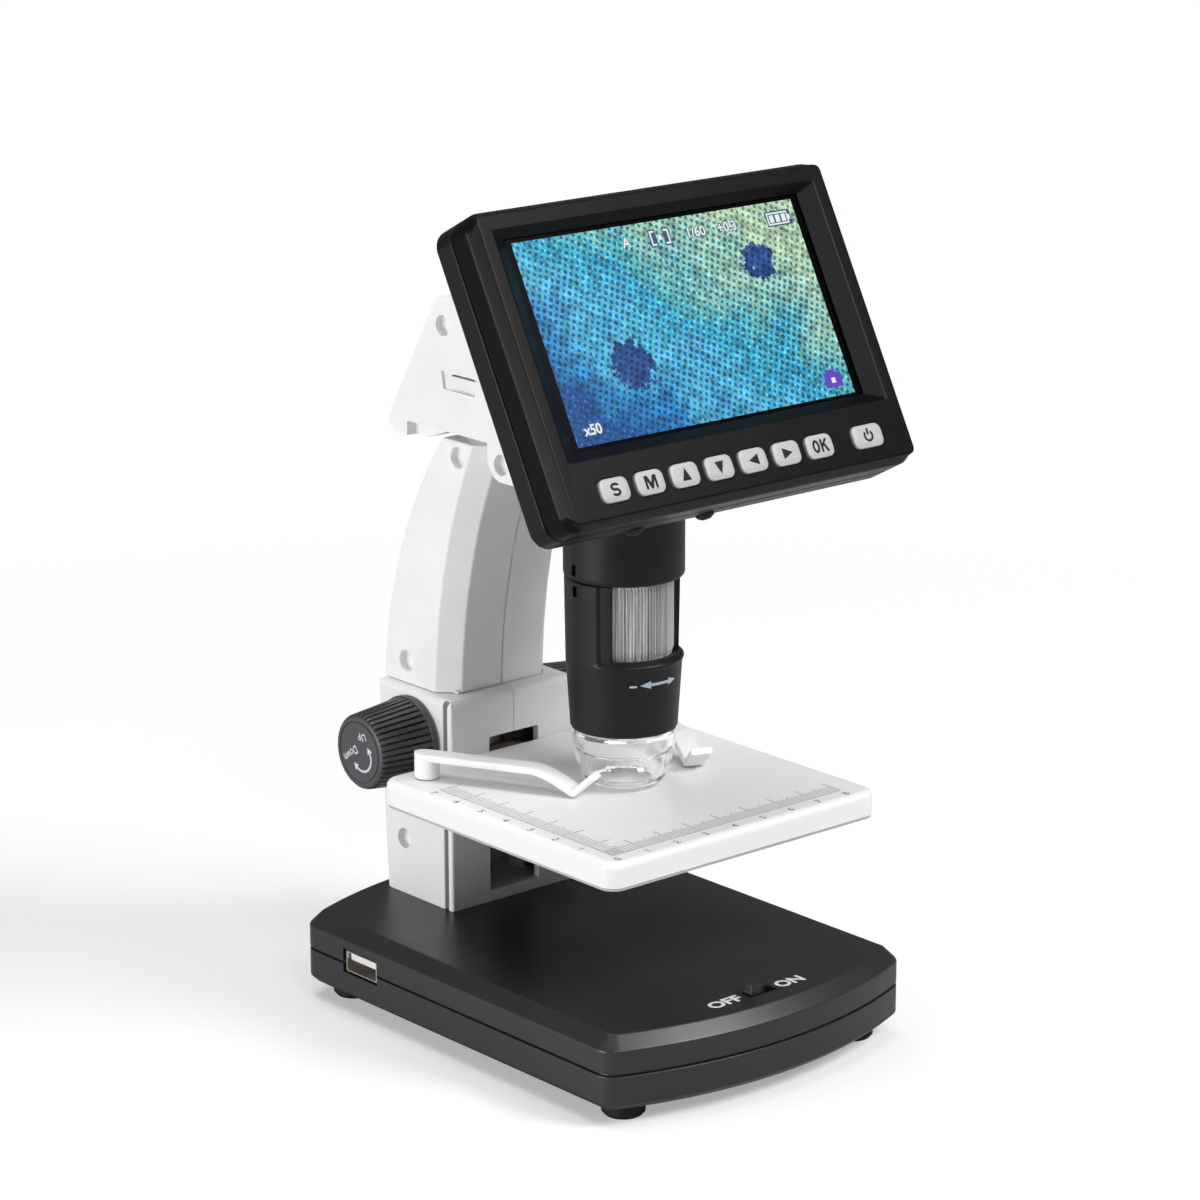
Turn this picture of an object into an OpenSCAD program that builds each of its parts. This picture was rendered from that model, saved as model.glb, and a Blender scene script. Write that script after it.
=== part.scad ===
// LCD digital microscope: a base with the battery, a split column with a rack-and-pinion
// stage lift, a curved arm, a bracket, a tilted screen head and a vertical lens tube.
// +Z is up, the front of the object faces -Y, and the origin is the centre of its footprint.
// Dimensions are in millimetres.

/* [Base] */
// Width of the base across X
base_w = 104.6; // [100:0.2:112]
// Depth of the base between the crests of its bowed front and rear
base_d = 148.4; // [144:0.2:156]
// Radius of the bowed front and rear walls
base_bow_r = 130; // [110:1:200]
// Height of the flat top of the base
base_top_z = 24.7; // [24:0.1:28]
// Height of the line where the two base shells meet
base_part_z = 14.6; // [13.6:0.1:16]
// Width of the sloped band round the top of the base
base_band = 3.6; // [1:0.1:4]
// Diameter of a rubber foot
foot_d = 11.5; // [9:0.1:12]
// Distance of the feet from the side walls
foot_inset_x = 11.5; // [10.5:0.1:14]
// Distance of the feet from the crests of the front and rear walls
foot_inset_y = 17.7; // [16.5:0.1:20]
// Distance of the column from the crest of the rear wall
column_inset = 8; // [5:0.1:9]

/* [Column] */
// Width of the column across X
column_w = 44.3; // [43:0.1:48]
// Place of the column's front face along Y
column_front_y = 35.95; // [35.8:0.05:36.4]
// Place of the column's rear face along Y, at the base
column_rear_y = 66.2; // [65.5:0.1:68]
// How far the rear face leans back over the column's height
column_lean = 3.1; // [0:0.1:3.5]
// Height of the top of the column
column_top_z = 84.6; // [84:0.1:86]
// Width of the slot that the stage travels in
slot_w = 17.4; // [17:0.1:20]
// Height of the lower end of that slot
slot_low_z = 27.8; // [27:0.1:30]
// Height of its upper end
slot_high_z = 72.3; // [70.4:0.1:74]

/* [Stage] */
// Width of the stage plate
stage_w = 94.2; // [90:0.2:98]
// Place of the plate's front edge along Y
stage_front_y = -59.2; // [-62:0.1:-54]
// Place of its rear edge
stage_rear_y = 35.4; // [34.5:0.1:35.5]
// Height of the plate's top face with the stage fully up
stage_top_z = 69.1; // [68.6:0.1:69.6]
// Thickness of the plate at its rim
stage_t = 7.7; // [6.5:0.1:8]
// How far the stage travels down from the top
lift_travel = 26; // [10:1:26]
// Place of a specimen clip's pivot, from the middle of the plate
clip_pivot_x = 37.6; // [34:0.1:38]
// Place of the clip's pivot along Y
clip_pivot_y = 27; // [22:0.5:28]
// Length of a clip from its pivot to where it presses
clip_reach = 43; // [36:0.5:44]

/* [Focus drive] */
// Place of the knob shaft along Y
shaft_y = 53; // [52.6:0.1:53.4]
// Height of the knob shaft
shaft_z = 70.5; // [70:0.1:71]
// Radius of the shaft
shaft_r = 2; // [1.5:0.05:2.2]
// Teeth on the pinion
pinion_teeth = 12; // [12:1:13]
// Tooth size: pitch diameter divided by the number of teeth
gear_module = 0.8; // [0.7:0.05:0.85]
// Diameter of a knob at its column end
knob_root_d = 25; // [22:0.1:26]
// Diameter of a knob at its outer end
knob_end_d = 21; // [18:0.1:22]
// Place of a knob's outer face along X
knob_face_x = 40.5; // [38:0.1:44]
// Ribs round a knob
knob_ribs = 40; // [24:1:48]

/* [Arm and bracket] */
// Width of the arm
arm_w = 38.5; // [37:0.1:40]
// Width of the arm's flat front
arm_front_w = 28; // [24:0.1:30]
// Radius of the hollow curve of the arm's front
arm_front_r = 173; // [172:0.1:174]
// Radius of the curve of its rear
arm_rear_r = 132.8; // [131:0.1:133]
// Width of the head bracket
bracket_w = 40; // [39.6:0.1:42]

/* [Head] */
// Width of the screen head
head_w = 120; // [118:0.2:124]
// Lean of the screen back from upright, in degrees
head_tilt = 28.2; // [25:0.1:31]
// Distance of the lit picture from the sides of the head
picture_inset = 12.5; // [12:0.1:15]
// Height of the lit picture
picture_h = 53.9; // [50:0.1:56]
// How far a key stands out of the face
key_proud = 0.8; // [0.4:0.1:1]

/* [Lens tube] */
// Radius of the collar at the top of the tube
collar_r = 16.1; // [16.05:0.05:16.8]
// Radius of the black housing under the collar
housing_top_r = 15.85; // [15.8:0.05:16]
// Radius of the housing at its lower end
housing_low_r = 14.3; // [14.2:0.05:14.6]
// Radius of the focus ring over its ribs
ring_r = 13.2; // [12.9:0.05:13.25]
// Ribs round the focus ring
ring_ribs = 90; // [60:2:96]
// Height of the lower end of the clear tip
tip_low_z = 70.3; // [70:0.1:71]

/* [Hidden] */
$fn = 48;

tiny = 0.01;
far = 300;                  // reach of a cutter that runs past everything
cone_ease = 0.02;           // keeps a coned corner just off the walls that it joins
fine = 180;                 // fragments round the large, flat curves
gap = 0.3;                  // between pieces that move past each other
seat = 0.1;                 // half of the seam between two shells
wall = 2.2;                 // wall of every moulded shell
slip = 0.05;                // radial clearance of a shaft in its bore

// Colours
BLACK = [0.16, 0.16, 0.17];
WHITE = [0.93, 0.93, 0.92];
STEEL = [0.75, 0.76, 0.78];
BRASS = [0.80, 0.66, 0.35];
BOARD = [0.10, 0.35, 0.20];
KEYS = [0.85, 0.86, 0.87];

// Base
base_low_z = 4.7;           // underside of the lower shell
base_foot_bevel = 1.8;
base_groove = 0.35;         // half height of the gap at the parting line
base_corner_r = 6;
bow_c = base_bow_r - base_d / 2;
corner_x = base_w / 2 - base_corner_r;
corner_y = sqrt(pow(base_bow_r - base_corner_r, 2) - pow(corner_x, 2)) - bow_c;
// the base is set from the column behind it, so that a deeper one grows forward
base_y = column_rear_y + column_inset - base_d / 2;
foot_x = base_w / 2 - foot_inset_x;
foot_y = base_d / 2 - foot_inset_y;
foot_recess = 0.8;
screw_r = 1.5;
screw_head_r = 2.8;
base_screw_seat_z = 9;
base_screw_len = 11;
floor_z = base_low_z + wall;
ceiling_z = base_top_z - wall;
usb_y = base_d / 2 - 35.3;
usb_z = 15.3;
usb_port_w = 14.9;
usb_port_h = 6.8;
board_t = 1.6;
base_board_z = 10.7;
base_board = [38, 24];      // its size across X and along Y
base_board_x = 4.3 - base_w / 2;
base_board_y = usb_y - 12.9;
battery = [50, 37, 8.5];
battery_y = -31;            // its front end
cable_way = [12, 8];
cable_way_y = column_front_y + 14.05;
switch_x = 0.5;
switch_y = 11.2 - base_d / 2;
switch_slot_w = 9.4;
switch_slot_h = 3.2;
switch_off_x = -1.7;        // the knob's place when it is off
switch_travel = 4.5;

// Column
column_hw = column_w / 2;
column_edge_r = 3;
column_rim = 2.4;           // rounding of its top edges
column_h = column_top_z - base_top_z;
column_lean_angle = atan(column_lean / column_h);
side_screw_r = 2.85;        // radius of a screw recess in a side face
side_screw_head_r = 2.5;
column_screw = [57.1, 40.7];
rail_front_y = 39.5;
rail_d = 7;
rail_w = 5;
waist_hw = 15;              // waist of the arm's foot, clamped in the column's top
waist_y0 = 41.6;
waist_y1 = 63;
waist_flange_z = column_top_z - wall - 2.7;
rail_h = waist_flange_z - 0.2 - slot_low_z;
foot_screw_y = [50.3, 60.5];
column_foot = [for (y = foot_screw_y, x = [-14, 14]) [x, y]];

// Stage
stage_hw = stage_w / 2;
stage_corner_r = 4.5;
stage_round = 2.1;
stage_lip = 0.8;            // lip round its underside, set in a little
stage_lip_in = 0.3;
stage_screw_y = [8, 20];
stage_skin = 2.2;
stage_low_z = stage_top_z - stage_t;
neck_hw = slot_w / 2 - 0.8;
neck_low_z = 55;
neck_high_z = stage_top_z - stage_skin - 0.4;
rail_x = 12;
carriage_y = 41.2;          // front of the carriage's wings
wing_t = 3.4;
clip_post_r = 3.3;
clip_w = 6;
clip_t = 2;
clip_top_z = stage_top_z + 8.4;
clip_left_angle = -62.4;    // where each clip points at rest, from +X
clip_right_angle = -110.7;

// Focus drive
pitch_r = gear_module * pinion_teeth / 2;
rack_pitch_y = shaft_y - pitch_r;
tooth_pitch = PI * gear_module;
rack_hw = 3.6;
rack_low_z = 56;
rack_high_z = shaft_z + lift_travel + 6;
knob_root_x = column_hw + 0.5;
bush_r = 3.6;
knob_bead = 1;              // rounding at the knob's outer edge
knob_rim = 1.6;             // plain rim at its root
knob_band = 3;              // plain band at its outer end
knob_rib_w = 0.7;

// Arm: both its curves turn about axes that lie across X, in front of the object
arm_hw = arm_w / 2;
arm_front_foot = [41, 80.5];  // where each curve stands upright, just inside the column's top
arm_rear_foot = [68.9, 76.7];
arm_front_c = [arm_front_foot[0] - arm_front_r, arm_front_foot[1]];
arm_rear_c = [arm_rear_foot[0] - arm_rear_r, arm_rear_foot[1]];
arm_band_r = arm_front_r + 5.4;
arm_top_z = 157.2;
arm_front_top_y = arm_front_y(arm_top_z);
arm_rear_top_y = arm_rear_y(arm_top_z);
arm_screw_low = [59, 91];
arm_screw_top_z = 152.6;
arm_screw_top = [(arm_front_y(arm_screw_top_z) + arm_rear_y(arm_screw_top_z)) / 2 + 0.4, arm_screw_top_z];
tongue_hw = 14;             // tongue that stands up from the arm into the bracket
tongue_y0 = arm_front_top_y + 4.43;
tongue_y1 = arm_rear_top_y - 4.12;
tongue_lip = 2;             // how far the tongue's flange stands out over the bracket's floor

// Head frame: local X across, local Y up the screen, local Z out of the screen
head_o = [0, -34.57, 198.6];
head_hw = head_w / 2;
picture_w = head_w - 2 * picture_inset;
head_low = -picture_h / 2 - 21.05;
head_high = picture_h / 2 + 9.05;
head_face = 3;
head_rear = -15.5;
head_part = -7;
head_corner_r = 7;
head_bevel = [1.7, 3.5];
plate_t = 2.8;
recess_in = [picture_w / 2 + 1.6, picture_h / 2 + 0.65, picture_h / 2 + 0.85];
recess_out = recess_in + [5.3, 3.3, 2.4];
key_v = head_low + 8.4;
key_h = 6.2;
key_flange = 0.8;
key_first_u = 16.4 - head_hw;
power_u = head_hw - 16.8;
power_gap = 17.2;           // from the last key of the row to the power key
key_pitch = (power_u - power_gap - key_first_u) / 6;
key_w = key_pitch - 2.4;
power_w = key_w + 1.2;
key_travel = 0.4;
key_back = -0.6;            // back of its flange
key_board_z = -1.6;
head_screw_uv = [for (u = [4.8 - head_hw, head_hw - 4.8], v = [head_low + 3.4, head_high - 3]) [u, v]];
lcd_y0 = key_v + key_h / 2 + key_flange + gap;
lcd_y1 = picture_h / 2 + 3.95;
lcd_hw = picture_w / 2 + 5.2;
board_post_uv = [for (u = [12.7 - lcd_hw, lcd_hw - 12.7], v = [lcd_y0 + 5.4, lcd_y1 - 6.9]) [u, v]];
main_board_hw = lcd_hw - 6.7;
main_board_low = head_low + 14;
main_board_high = head_high - 8;
mount_uv = [[-12, 1], [12, 1], [-12, -28], [12, -28]];
bumper_u = [-29, -5];

// Bracket: outline seen from the side, as (y, z), anticlockwise from its rear foot
bracket_hw = bracket_w / 2;
bracket_floor_z = 159.3;    // underside of the bracket over the arm
bracket_foot = [56, 155.3]; // front of the foot behind the arm
catch_recess = [[27, 170.8], [40.2, 170.8], [41, 175.6], [27, 176]];
catch_tab = [[26, 171.5], [36.4, 171.5], [37.8, 173], [37.5, 174.4], [36.7, 174.8], [26, 174.8]];
catch_slit = 0.35;
bracket_low_v = -47.4;      // where its slanted front meets the head's rear, in the head's frame
bracket_high_v = 5.2;
head_rear_low = [head_o[1] - head_rear * cos(head_tilt) + bracket_low_v * sin(head_tilt),
                 head_o[2] + head_rear * sin(head_tilt) + bracket_low_v * cos(head_tilt)];
head_rear_high = [head_o[1] - head_rear * cos(head_tilt) + bracket_high_v * sin(head_tilt),
                  head_o[2] + head_rear * sin(head_tilt) + bracket_high_v * cos(head_tilt)];
bracket_low_z = head_rear_low[1];
bracket_lobe_y = arm_front_top_y - 1.07;  // rear of the lobe that hangs down before the arm
bracket_outline = [
    bracket_foot, [61.6, 155.5], [64.3, 157.6], [64.3, 158.9], [43.7, 194.1], [40.7, 195.9],
    [head_rear_high[0] + gap, 195.9], [head_rear_low[0] + gap, bracket_low_z],
    [bracket_lobe_y - 5, bracket_low_z], [bracket_lobe_y - 2.7, 150.3], [bracket_lobe_y - 1.3, 152.2],
    [bracket_lobe_y, 154.1], [bracket_lobe_y, bracket_floor_z],
    [bracket_foot[0], bracket_floor_z],
];
// the same without its small corners, for the hollow inside
bracket_core = [
    [64.1, bracket_floor_z], [42.7, 195.9], bracket_outline[6], bracket_outline[7],
    [bracket_lobe_y - 3.6, bracket_low_z], [bracket_lobe_y, 154.1], [bracket_lobe_y, bracket_floor_z],
];
bracket_screw_top = [40.4, 187.9];
bracket_screw_low = [16.4, 154.2];

// Lens tube, about the vertical axis at tube_y
tube_y = -10;
collar_low_z = 126.9;
collar_flange_r = 17.2;     // flange that rests on the bracket's lower wall
collar_high_z = bracket_low_z + wall + seat + 1.4;
housing_low_z = 85.3;
neck_r = 15;
bore_r = 13.45;
ledge_z = 103.6;
window_low_z = 106.2;
window_half = 52;
ring_low_z = 105.4;
ring_high_z = 126.6;
thread_r = 10.4;
nose_r = 7.6;
thread_low_z = 110.5;
thread_high_z = 121.5;

// ---------------------------------------------------------------- helpers

function unit(v) = v / norm(v);

// Place of the arm's front and rear curve along Y at height z
function arm_front_y(z) = arm_front_c[0] + sqrt(pow(arm_front_r, 2) - pow(z - arm_front_c[1], 2));
function arm_rear_y(z) = arm_rear_c[0] + sqrt(pow(arm_rear_r, 2) - pow(z - arm_rear_c[1], 2));

// Outline p (anticlockwise) moved inward by d
function inset(p, d) = [
    for (i = [0 : len(p) - 1])
        let (a = p[(i + len(p) - 1) % len(p)], b = p[i], c = p[(i + 1) % len(p)],
             u = unit(b - a), v = unit(c - b), m = [-u[1], u[0]], n = [-v[1], v[0]])
        b + d * (m + n) / (1 + m * n)
];

// Cylinder along X from x0 to x1 at (y, z)
module rod_x(x0, x1, y, z, r) {
    translate([x0, y, z]) rotate([0, 90, 0]) cylinder(r = r, h = x1 - x0);
}

// A side outline, given as (y, z) points or 2D children, thick from x0 to x1
module side(x0, x1) {
    translate([x0, 0, 0]) rotate([90, 0, 90]) linear_extrude(x1 - x0) children();
}

// Block with upright corners of radius r; its sides slope in from in0 to in1
module slab(x0, x1, y0, y1, r, z0, z1, in0 = 0, in1 = 0) {
    h = z1 - z0;
    translate([0, y1 - r, z0]) rotate([90, 0, 0]) linear_extrude(y1 - y0 - 2 * r)
        polygon([[x0 + in0, 0], [x1 - in0, 0], [x1 - in1, h], [x0 + in1, h]]);
    translate([x0 + r, 0, z0]) rotate([90, 0, 90]) linear_extrude(x1 - x0 - 2 * r)
        polygon([[y0 + in0, 0], [y1 - in0, 0], [y1 - in1, h], [y0 + in1, h]]);
    e = in0 == in1 ? 0 : cone_ease;
    for (x = [x0 + r, x1 - r], y = [y0 + r, y1 - r])
        translate([x, y, z0]) cylinder(r1 = r - in0 - e, r2 = r - in1 - e, h = h);
}

// Block with upright corners of radius r whose top edge is rounded to radius e
module round_slab(x0, x1, y0, y1, r, z0, z1, e) {
    translate([0, y1 - r, 0]) rotate([90, 0, 0]) linear_extrude(y1 - y0 - 2 * r) round_top(x0, x1, z0, z1, e);
    translate([x0 + r, 0, 0]) rotate([90, 0, 90]) linear_extrude(x1 - x0 - 2 * r) round_top(y0, y1, z0, z1, e);
    for (x = [x0 + r, x1 - r], y = [y0 + r, y1 - r]) translate([x, y, 0]) rotate_extrude() {
        translate([0, z0]) square([r, z1 - z0 - e]);
        translate([0, z0]) square([r - e, z1 - z0]);
        translate([r - e, z1 - e]) circle(r = e);
    }
}

module round_top(a0, a1, z0, z1, e) {
    translate([a0, z0]) square([a1 - a0, z1 - z0 - e]);
    translate([a0 + e, z0]) square([a1 - a0 - 2 * e, z1 - z0]);
    for (a = [a0 + e, a1 - e]) translate([a, z1 - e]) circle(r = e);
}

module head_frame() {
    translate(head_o) rotate([90 - head_tilt, 0, 0]) children();
}

module tube_frame() {
    translate([0, tube_y, 0]) children();
}

// Stands the base's pieces under the column
module base_frame() {
    translate([0, base_y, 0]) children();
}

// What a half shell on side s leaves to the other half, and its half of the seam
module other_half(s) {
    translate([s > 0 ? seat - far : -seat, -far / 2, 0]) cube([far, far, far]);
}

// Ring about the tube's axis
module tube_ring(r_out, r_in, z0, z1) {
    translate([0, 0, z0]) difference() {
        cylinder(r = r_out, h = z1 - z0, $fn = 96);
        translate([0, 0, -1]) cylinder(r = r_in, h = z1 - z0 + 2, $fn = 96);
    }
}

// Pan-head screw with its head under z = 0 and its shank upward
module screw(r, head_r, head_h, len) {
    difference() {
        union() {
            translate([0, 0, -head_h]) cylinder(r = head_r, h = head_h);
            translate([0, 0, -tiny]) cylinder(r = r, h = len);
        }
        for (a = [0, 90]) rotate([0, 0, a])
            translate([-head_r * 0.55, -0.3, -head_h - 1]) cube([head_r * 1.1, 0.6, 1.7]);
    }
}

// ---------------------------------------------------------------- base

// Outline of the base, bowed front and rear, h high, sides sloping from in0 to in1
module base_block(h, in0 = 0, in1 = 0) {
    hw = base_w / 2;
    e = in0 == in1 ? 0 : cone_ease;
    difference() {
        intersection() {
            translate([0, bow_c, 0])
                cylinder(r1 = base_bow_r - in0, r2 = base_bow_r - in1, h = h, $fn = fine);
            translate([0, -bow_c, 0])
                cylinder(r1 = base_bow_r - in0, r2 = base_bow_r - in1, h = h, $fn = fine);
            translate([0, base_d / 2, 0]) rotate([90, 0, 0]) linear_extrude(base_d)
                polygon([[in0 - hw, 0], [hw - in0, 0], [hw - in1, h], [in1 - hw, h]]);
        }
        for (sx = [-1, 1], sy = [-1, 1]) base_corner_wedge(sx, sy, h);
    }
    for (sx = [-1, 1], sy = [-1, 1]) translate([sx * corner_x, sy * corner_y, 0])
        cylinder(r1 = base_corner_r - in0 + e, r2 = base_corner_r - in1 + e, h = h);
}

// What is cut from a corner before its round goes in
module base_corner_wedge(sx, sy, h) {
    reach = 14;
    away = unit([corner_x, corner_y + bow_c]);
    c = [corner_x, corner_y];
    translate([0, 0, -1]) linear_extrude(h + 2)
        polygon([for (p = [c, c + [reach, 0], c + [reach, reach], c + reach * away]) [sx * p[0], sy * p[1]]]);
}

module foot_places() {
    for (x = [-foot_x, foot_x], y = [-foot_y, foot_y]) translate([x, y, 0]) children();
}

module usb_port_cut() {
    translate([-base_w / 2 - 1, usb_y - usb_port_w / 2, usb_z - usb_port_h / 2])
        cube([wall + 2, usb_port_w, usb_port_h]);
}

module base_bottom_shell() {
    color(BLACK) base_frame() difference() {
        union() {
            difference() {
                union() {
                    translate([0, 0, base_low_z]) base_block(base_foot_bevel, base_foot_bevel, 0);
                    translate([0, 0, base_low_z + base_foot_bevel])
                        base_block(base_part_z - base_groove - base_low_z - base_foot_bevel);
                }
                translate([0, 0, floor_z]) base_block(base_part_z, wall, wall);
            }
            foot_places() translate([0, 0, floor_z - tiny]) cylinder(r = 4.8, h = base_part_z - floor_z - 1);
            for (x = [4, base_board[0] - 4], y = [3, base_board[1] - 3])
                translate([base_board_x + x, base_board_y + y, floor_z - tiny])
                    cylinder(r = 2, h = base_board_z - floor_z - seat);
            for (y = [battery_y - 1.5, battery_y + battery[1] + 0.1])
                translate([-battery[0] / 2 - 1, y, floor_z - tiny]) cube([battery[0] + 2, 1.4, 4]);
        }
        foot_places() {
            translate([0, 0, base_low_z - 1]) cylinder(r = foot_d / 2 + 0.15, h = 1 + foot_recess);
            translate([0, 0, base_low_z]) cylinder(r = screw_head_r + 0.3, h = base_screw_seat_z - base_low_z);
            translate([0, 0, base_screw_seat_z - 1]) cylinder(r = screw_r + 0.2, h = 10);
        }
        usb_port_cut();
    }
}

module base_top_shell() {
    z0 = base_part_z + base_groove;
    color(BLACK) difference() {
        base_frame() difference() {
            union() {
                difference() {
                    union() {
                        translate([0, 0, z0]) base_block(base_top_z - base_band - z0);
                        translate([0, 0, base_top_z - base_band]) base_block(base_band, 0, base_band);
                    }
                    translate([0, 0, z0 - 1]) base_block(ceiling_z - base_band - z0 + 1 + tiny, wall, wall);
                    translate([0, 0, ceiling_z - base_band]) base_block(base_band, wall, wall + base_band);
                }
                foot_places() translate([0, 0, base_part_z - 0.8]) cylinder(r = 4, h = ceiling_z - base_part_z + 1);
            }
            foot_places() translate([0, 0, base_part_z - 2])
                cylinder(r = screw_r + slip, h = base_screw_seat_z + base_screw_len - base_part_z + 3);
            usb_port_cut();
            translate([switch_x - switch_slot_w / 2, switch_y - switch_slot_h / 2, ceiling_z - 1])
                cube([switch_slot_w, switch_slot_h, wall + 2]);
        }
        for (p = column_foot) translate([p[0], p[1], ceiling_z - 1]) cylinder(r = screw_r + 0.2, h = wall + 2);
        cable_way_cut(ceiling_z - 1);
    }
}

// Way for the cable between the base and the column
module cable_way_cut(z) {
    translate([-cable_way[0] / 2, cable_way_y, z]) cube([cable_way[0], cable_way[1], wall + 2]);
}

module rubber_feet() {
    color(BLACK) base_frame() foot_places() {
        cylinder(r1 = foot_d / 2 - 0.8, r2 = foot_d / 2, h = 0.9);
        translate([0, 0, 0.9 - tiny]) cylinder(r = foot_d / 2, h = base_low_z + foot_recess - 0.95);
    }
}

module base_screws() {
    color(STEEL) base_frame() foot_places() translate([0, 0, base_screw_seat_z])
        screw(screw_r, screw_head_r, 2.2, base_screw_len);
}

module usb_socket() {
    w = 13.4;
    h = 5.9;
    x0 = -base_w / 2 + 0.5;
    color(STEEL) base_frame() difference() {
        translate([x0, usb_y - w / 2, usb_z - h / 2]) cube([14, w, h]);
        translate([x0 - 1, usb_y - w / 2 + 0.4, usb_z - h / 2 + 0.4]) cube([14.4, w - 0.8, h - 0.8]);
    }
}

module usb_tongue() {
    x0 = -base_w / 2 + 1.4;
    color(WHITE) base_frame() {
        translate([x0, usb_y - 5.6, usb_z + 0.3]) cube([11, 11.2, 1.8]);
        translate([x0 + 10.5, usb_y - 6.1, usb_z - 2.4]) cube([1.8, 12.2, 4.7]);
    }
}

module base_board() {
    color(BOARD) base_frame() translate([base_board_x, base_board_y, base_board_z])
        cube([base_board[0], base_board[1], board_t]);
    color(BLACK) base_frame() for (p = [[24, 4, 6], [16, 6, 4], [28, 14, 5]])
        translate([base_board_x + p[0], base_board_y + p[1], base_board_z + board_t - tiny]) cube([p[2], p[2], 1.6]);
}

module battery_pack() {
    color(STEEL) base_frame() slab(-battery[0] / 2, battery[0] / 2, battery_y, battery_y + battery[1], 3,
        floor_z + seat, floor_z + seat + battery[2]);
}

module switch_body() {
    color(STEEL) base_frame() difference() {
        translate([switch_x - 7, switch_y - 2.8, ceiling_z - 6.1]) cube([14, 5.6, 6]);
        translate([switch_x - 5.2, switch_y - 1.6, ceiling_z - 3]) cube([10.4, 3.2, 4]);
    }
}

module power_switch_knob() {
    color(BLACK) base_frame() translate([switch_off_x, switch_y, 0]) {
        translate([-1.3, -1.2, ceiling_z - 2.7]) cube([2.6, 2.4, base_top_z - ceiling_z + 3.2]);
        slab(-2.1, 2.1, -1.8, 1.8, 0.5, base_top_z + gap, base_top_z + 3, 0, 0.3);
    }
}

// ---------------------------------------------------------------- column

// Solid of the column, shrunk by d all round, with an upright front and a leaning rear
module column_block(d, z0, z1) {
    r = column_edge_r - min(d, column_edge_r - 0.8);
    hw = column_hw - d;
    intersection() {
        slab(-hw, hw, column_front_y + d, far, 0.8, z0, z1);
        translate([0, column_rear_y - d, base_top_z]) rotate([-column_lean_angle, 0, 0])
            slab(-hw, hw, -far / 4, 0, r, z0 - base_top_z - 8, z1 - base_top_z + 8);
    }
}

// What rounds a top edge that lies along X, with the body on its +Y side
module rim_wedge() {
    rotate([90, 0, 90]) linear_extrude(80, center = true) difference() {
        translate([-1, -column_rim]) square([column_rim + 1, column_rim + 1]);
        translate([column_rim, -column_rim]) circle(r = column_rim, $fn = 72);
    }
}

module column_solid() {
    difference() {
        column_block(0, base_top_z, column_top_z);
        translate([0, column_front_y, column_top_z]) rim_wedge();
        translate([0, column_rear_y + column_lean, column_top_z]) rotate([0, 0, 180]) rim_wedge();
        for (s = [-1, 1]) {
            translate([s * column_hw, 50, column_top_z]) rotate([0, 0, s * 90]) rim_wedge();
            // groove behind each front edge
            translate([s * column_hw, column_front_y + 2.6, base_top_z - 1])
                rotate([0, 0, 45]) translate([-0.7, -0.7, 0]) cube([1.4, 1.4, 100]);
        }
    }
}

module column_half(s) {
    difference() {
        union() {
            difference() {
                column_solid();
                column_block(wall, base_top_z + wall, column_top_z - wall);
            }
            intersection() {
                column_block(0.5, base_top_z, column_top_z - 0.5);
                union() {
                    for (p = column_foot) translate([p[0], p[1], base_top_z]) cylinder(r = 3.6, h = 9);
                    rod_x(-column_hw, column_hw, column_screw[0], column_screw[1], 4.2);
                    for (z = [30 : 12 : 78], t = [-1, 1])
                        translate([t > 0 ? rail_x + rail_w + gap : -column_hw, rail_front_y, z])
                            cube([column_hw - rail_x - rail_w - gap, rail_d, 1.6]);
                    for (t = [-1, 1]) rod_x(t > 0 ? column_hw - 5.4 : -column_hw, t > 0 ? column_hw : 5.4 - column_hw,
                        shaft_y, shaft_z, 5.6);
                }
            }
        }
        other_half(s);
        // stage slot
        translate([-slot_w / 2, column_front_y - 1, slot_low_z]) cube([slot_w, 5, slot_high_z - slot_low_z]);
        // foot screws and the cable way in the floor
        for (p = column_foot) translate([p[0], p[1], base_top_z - 1]) cylinder(r = screw_r + slip, h = 9);
        cable_way_cut(base_top_z - 1);
        // opening that clamps the waist of the arm's foot
        translate([-waist_hw - seat, waist_y0 - seat, column_top_z - wall - 1])
            cube([2 * (waist_hw + seat), waist_y1 - waist_y0 + 2 * seat, wall + 2]);
        // bush seat
        rod_x(-30, 30, shaft_y, shaft_z, bush_r + slip);
        // side screw
        rod_x(-column_hw - 1, -column_hw + 8, column_screw[0], column_screw[1], side_screw_r);
        rod_x(-column_hw, 0, column_screw[0], column_screw[1], screw_r + 0.2);
        rod_x(-1, 13, column_screw[0], column_screw[1], screw_r + slip);
    }
}

module column_left_shell() { color(WHITE) column_half(-1); }
module column_right_shell() { color(WHITE) column_half(1); }

module column_screws() {
    color(STEEL) translate([-column_hw + 8, column_screw[0], column_screw[1]])
        rotate([0, 90, 0]) screw(screw_r, side_screw_head_r, 2, 25);
}

module column_base_screws() {
    color(STEEL) for (p = column_foot) translate([p[0], p[1], ceiling_z]) screw(screw_r, screw_head_r, 2, 9.5);
}

module guide_rails() {
    color(BLACK) for (s = [-1, 1]) scale([s, 1, 1]) difference() {
        translate([rail_x, rail_front_y, slot_low_z]) cube([rail_w, rail_d, rail_h]);
        translate([rail_x - 1, carriage_y - gap / 2, slot_low_z - 1]) cube([4, wing_t + gap, rail_h + 2]);
    }
}

// ---------------------------------------------------------------- focus drive

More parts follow.
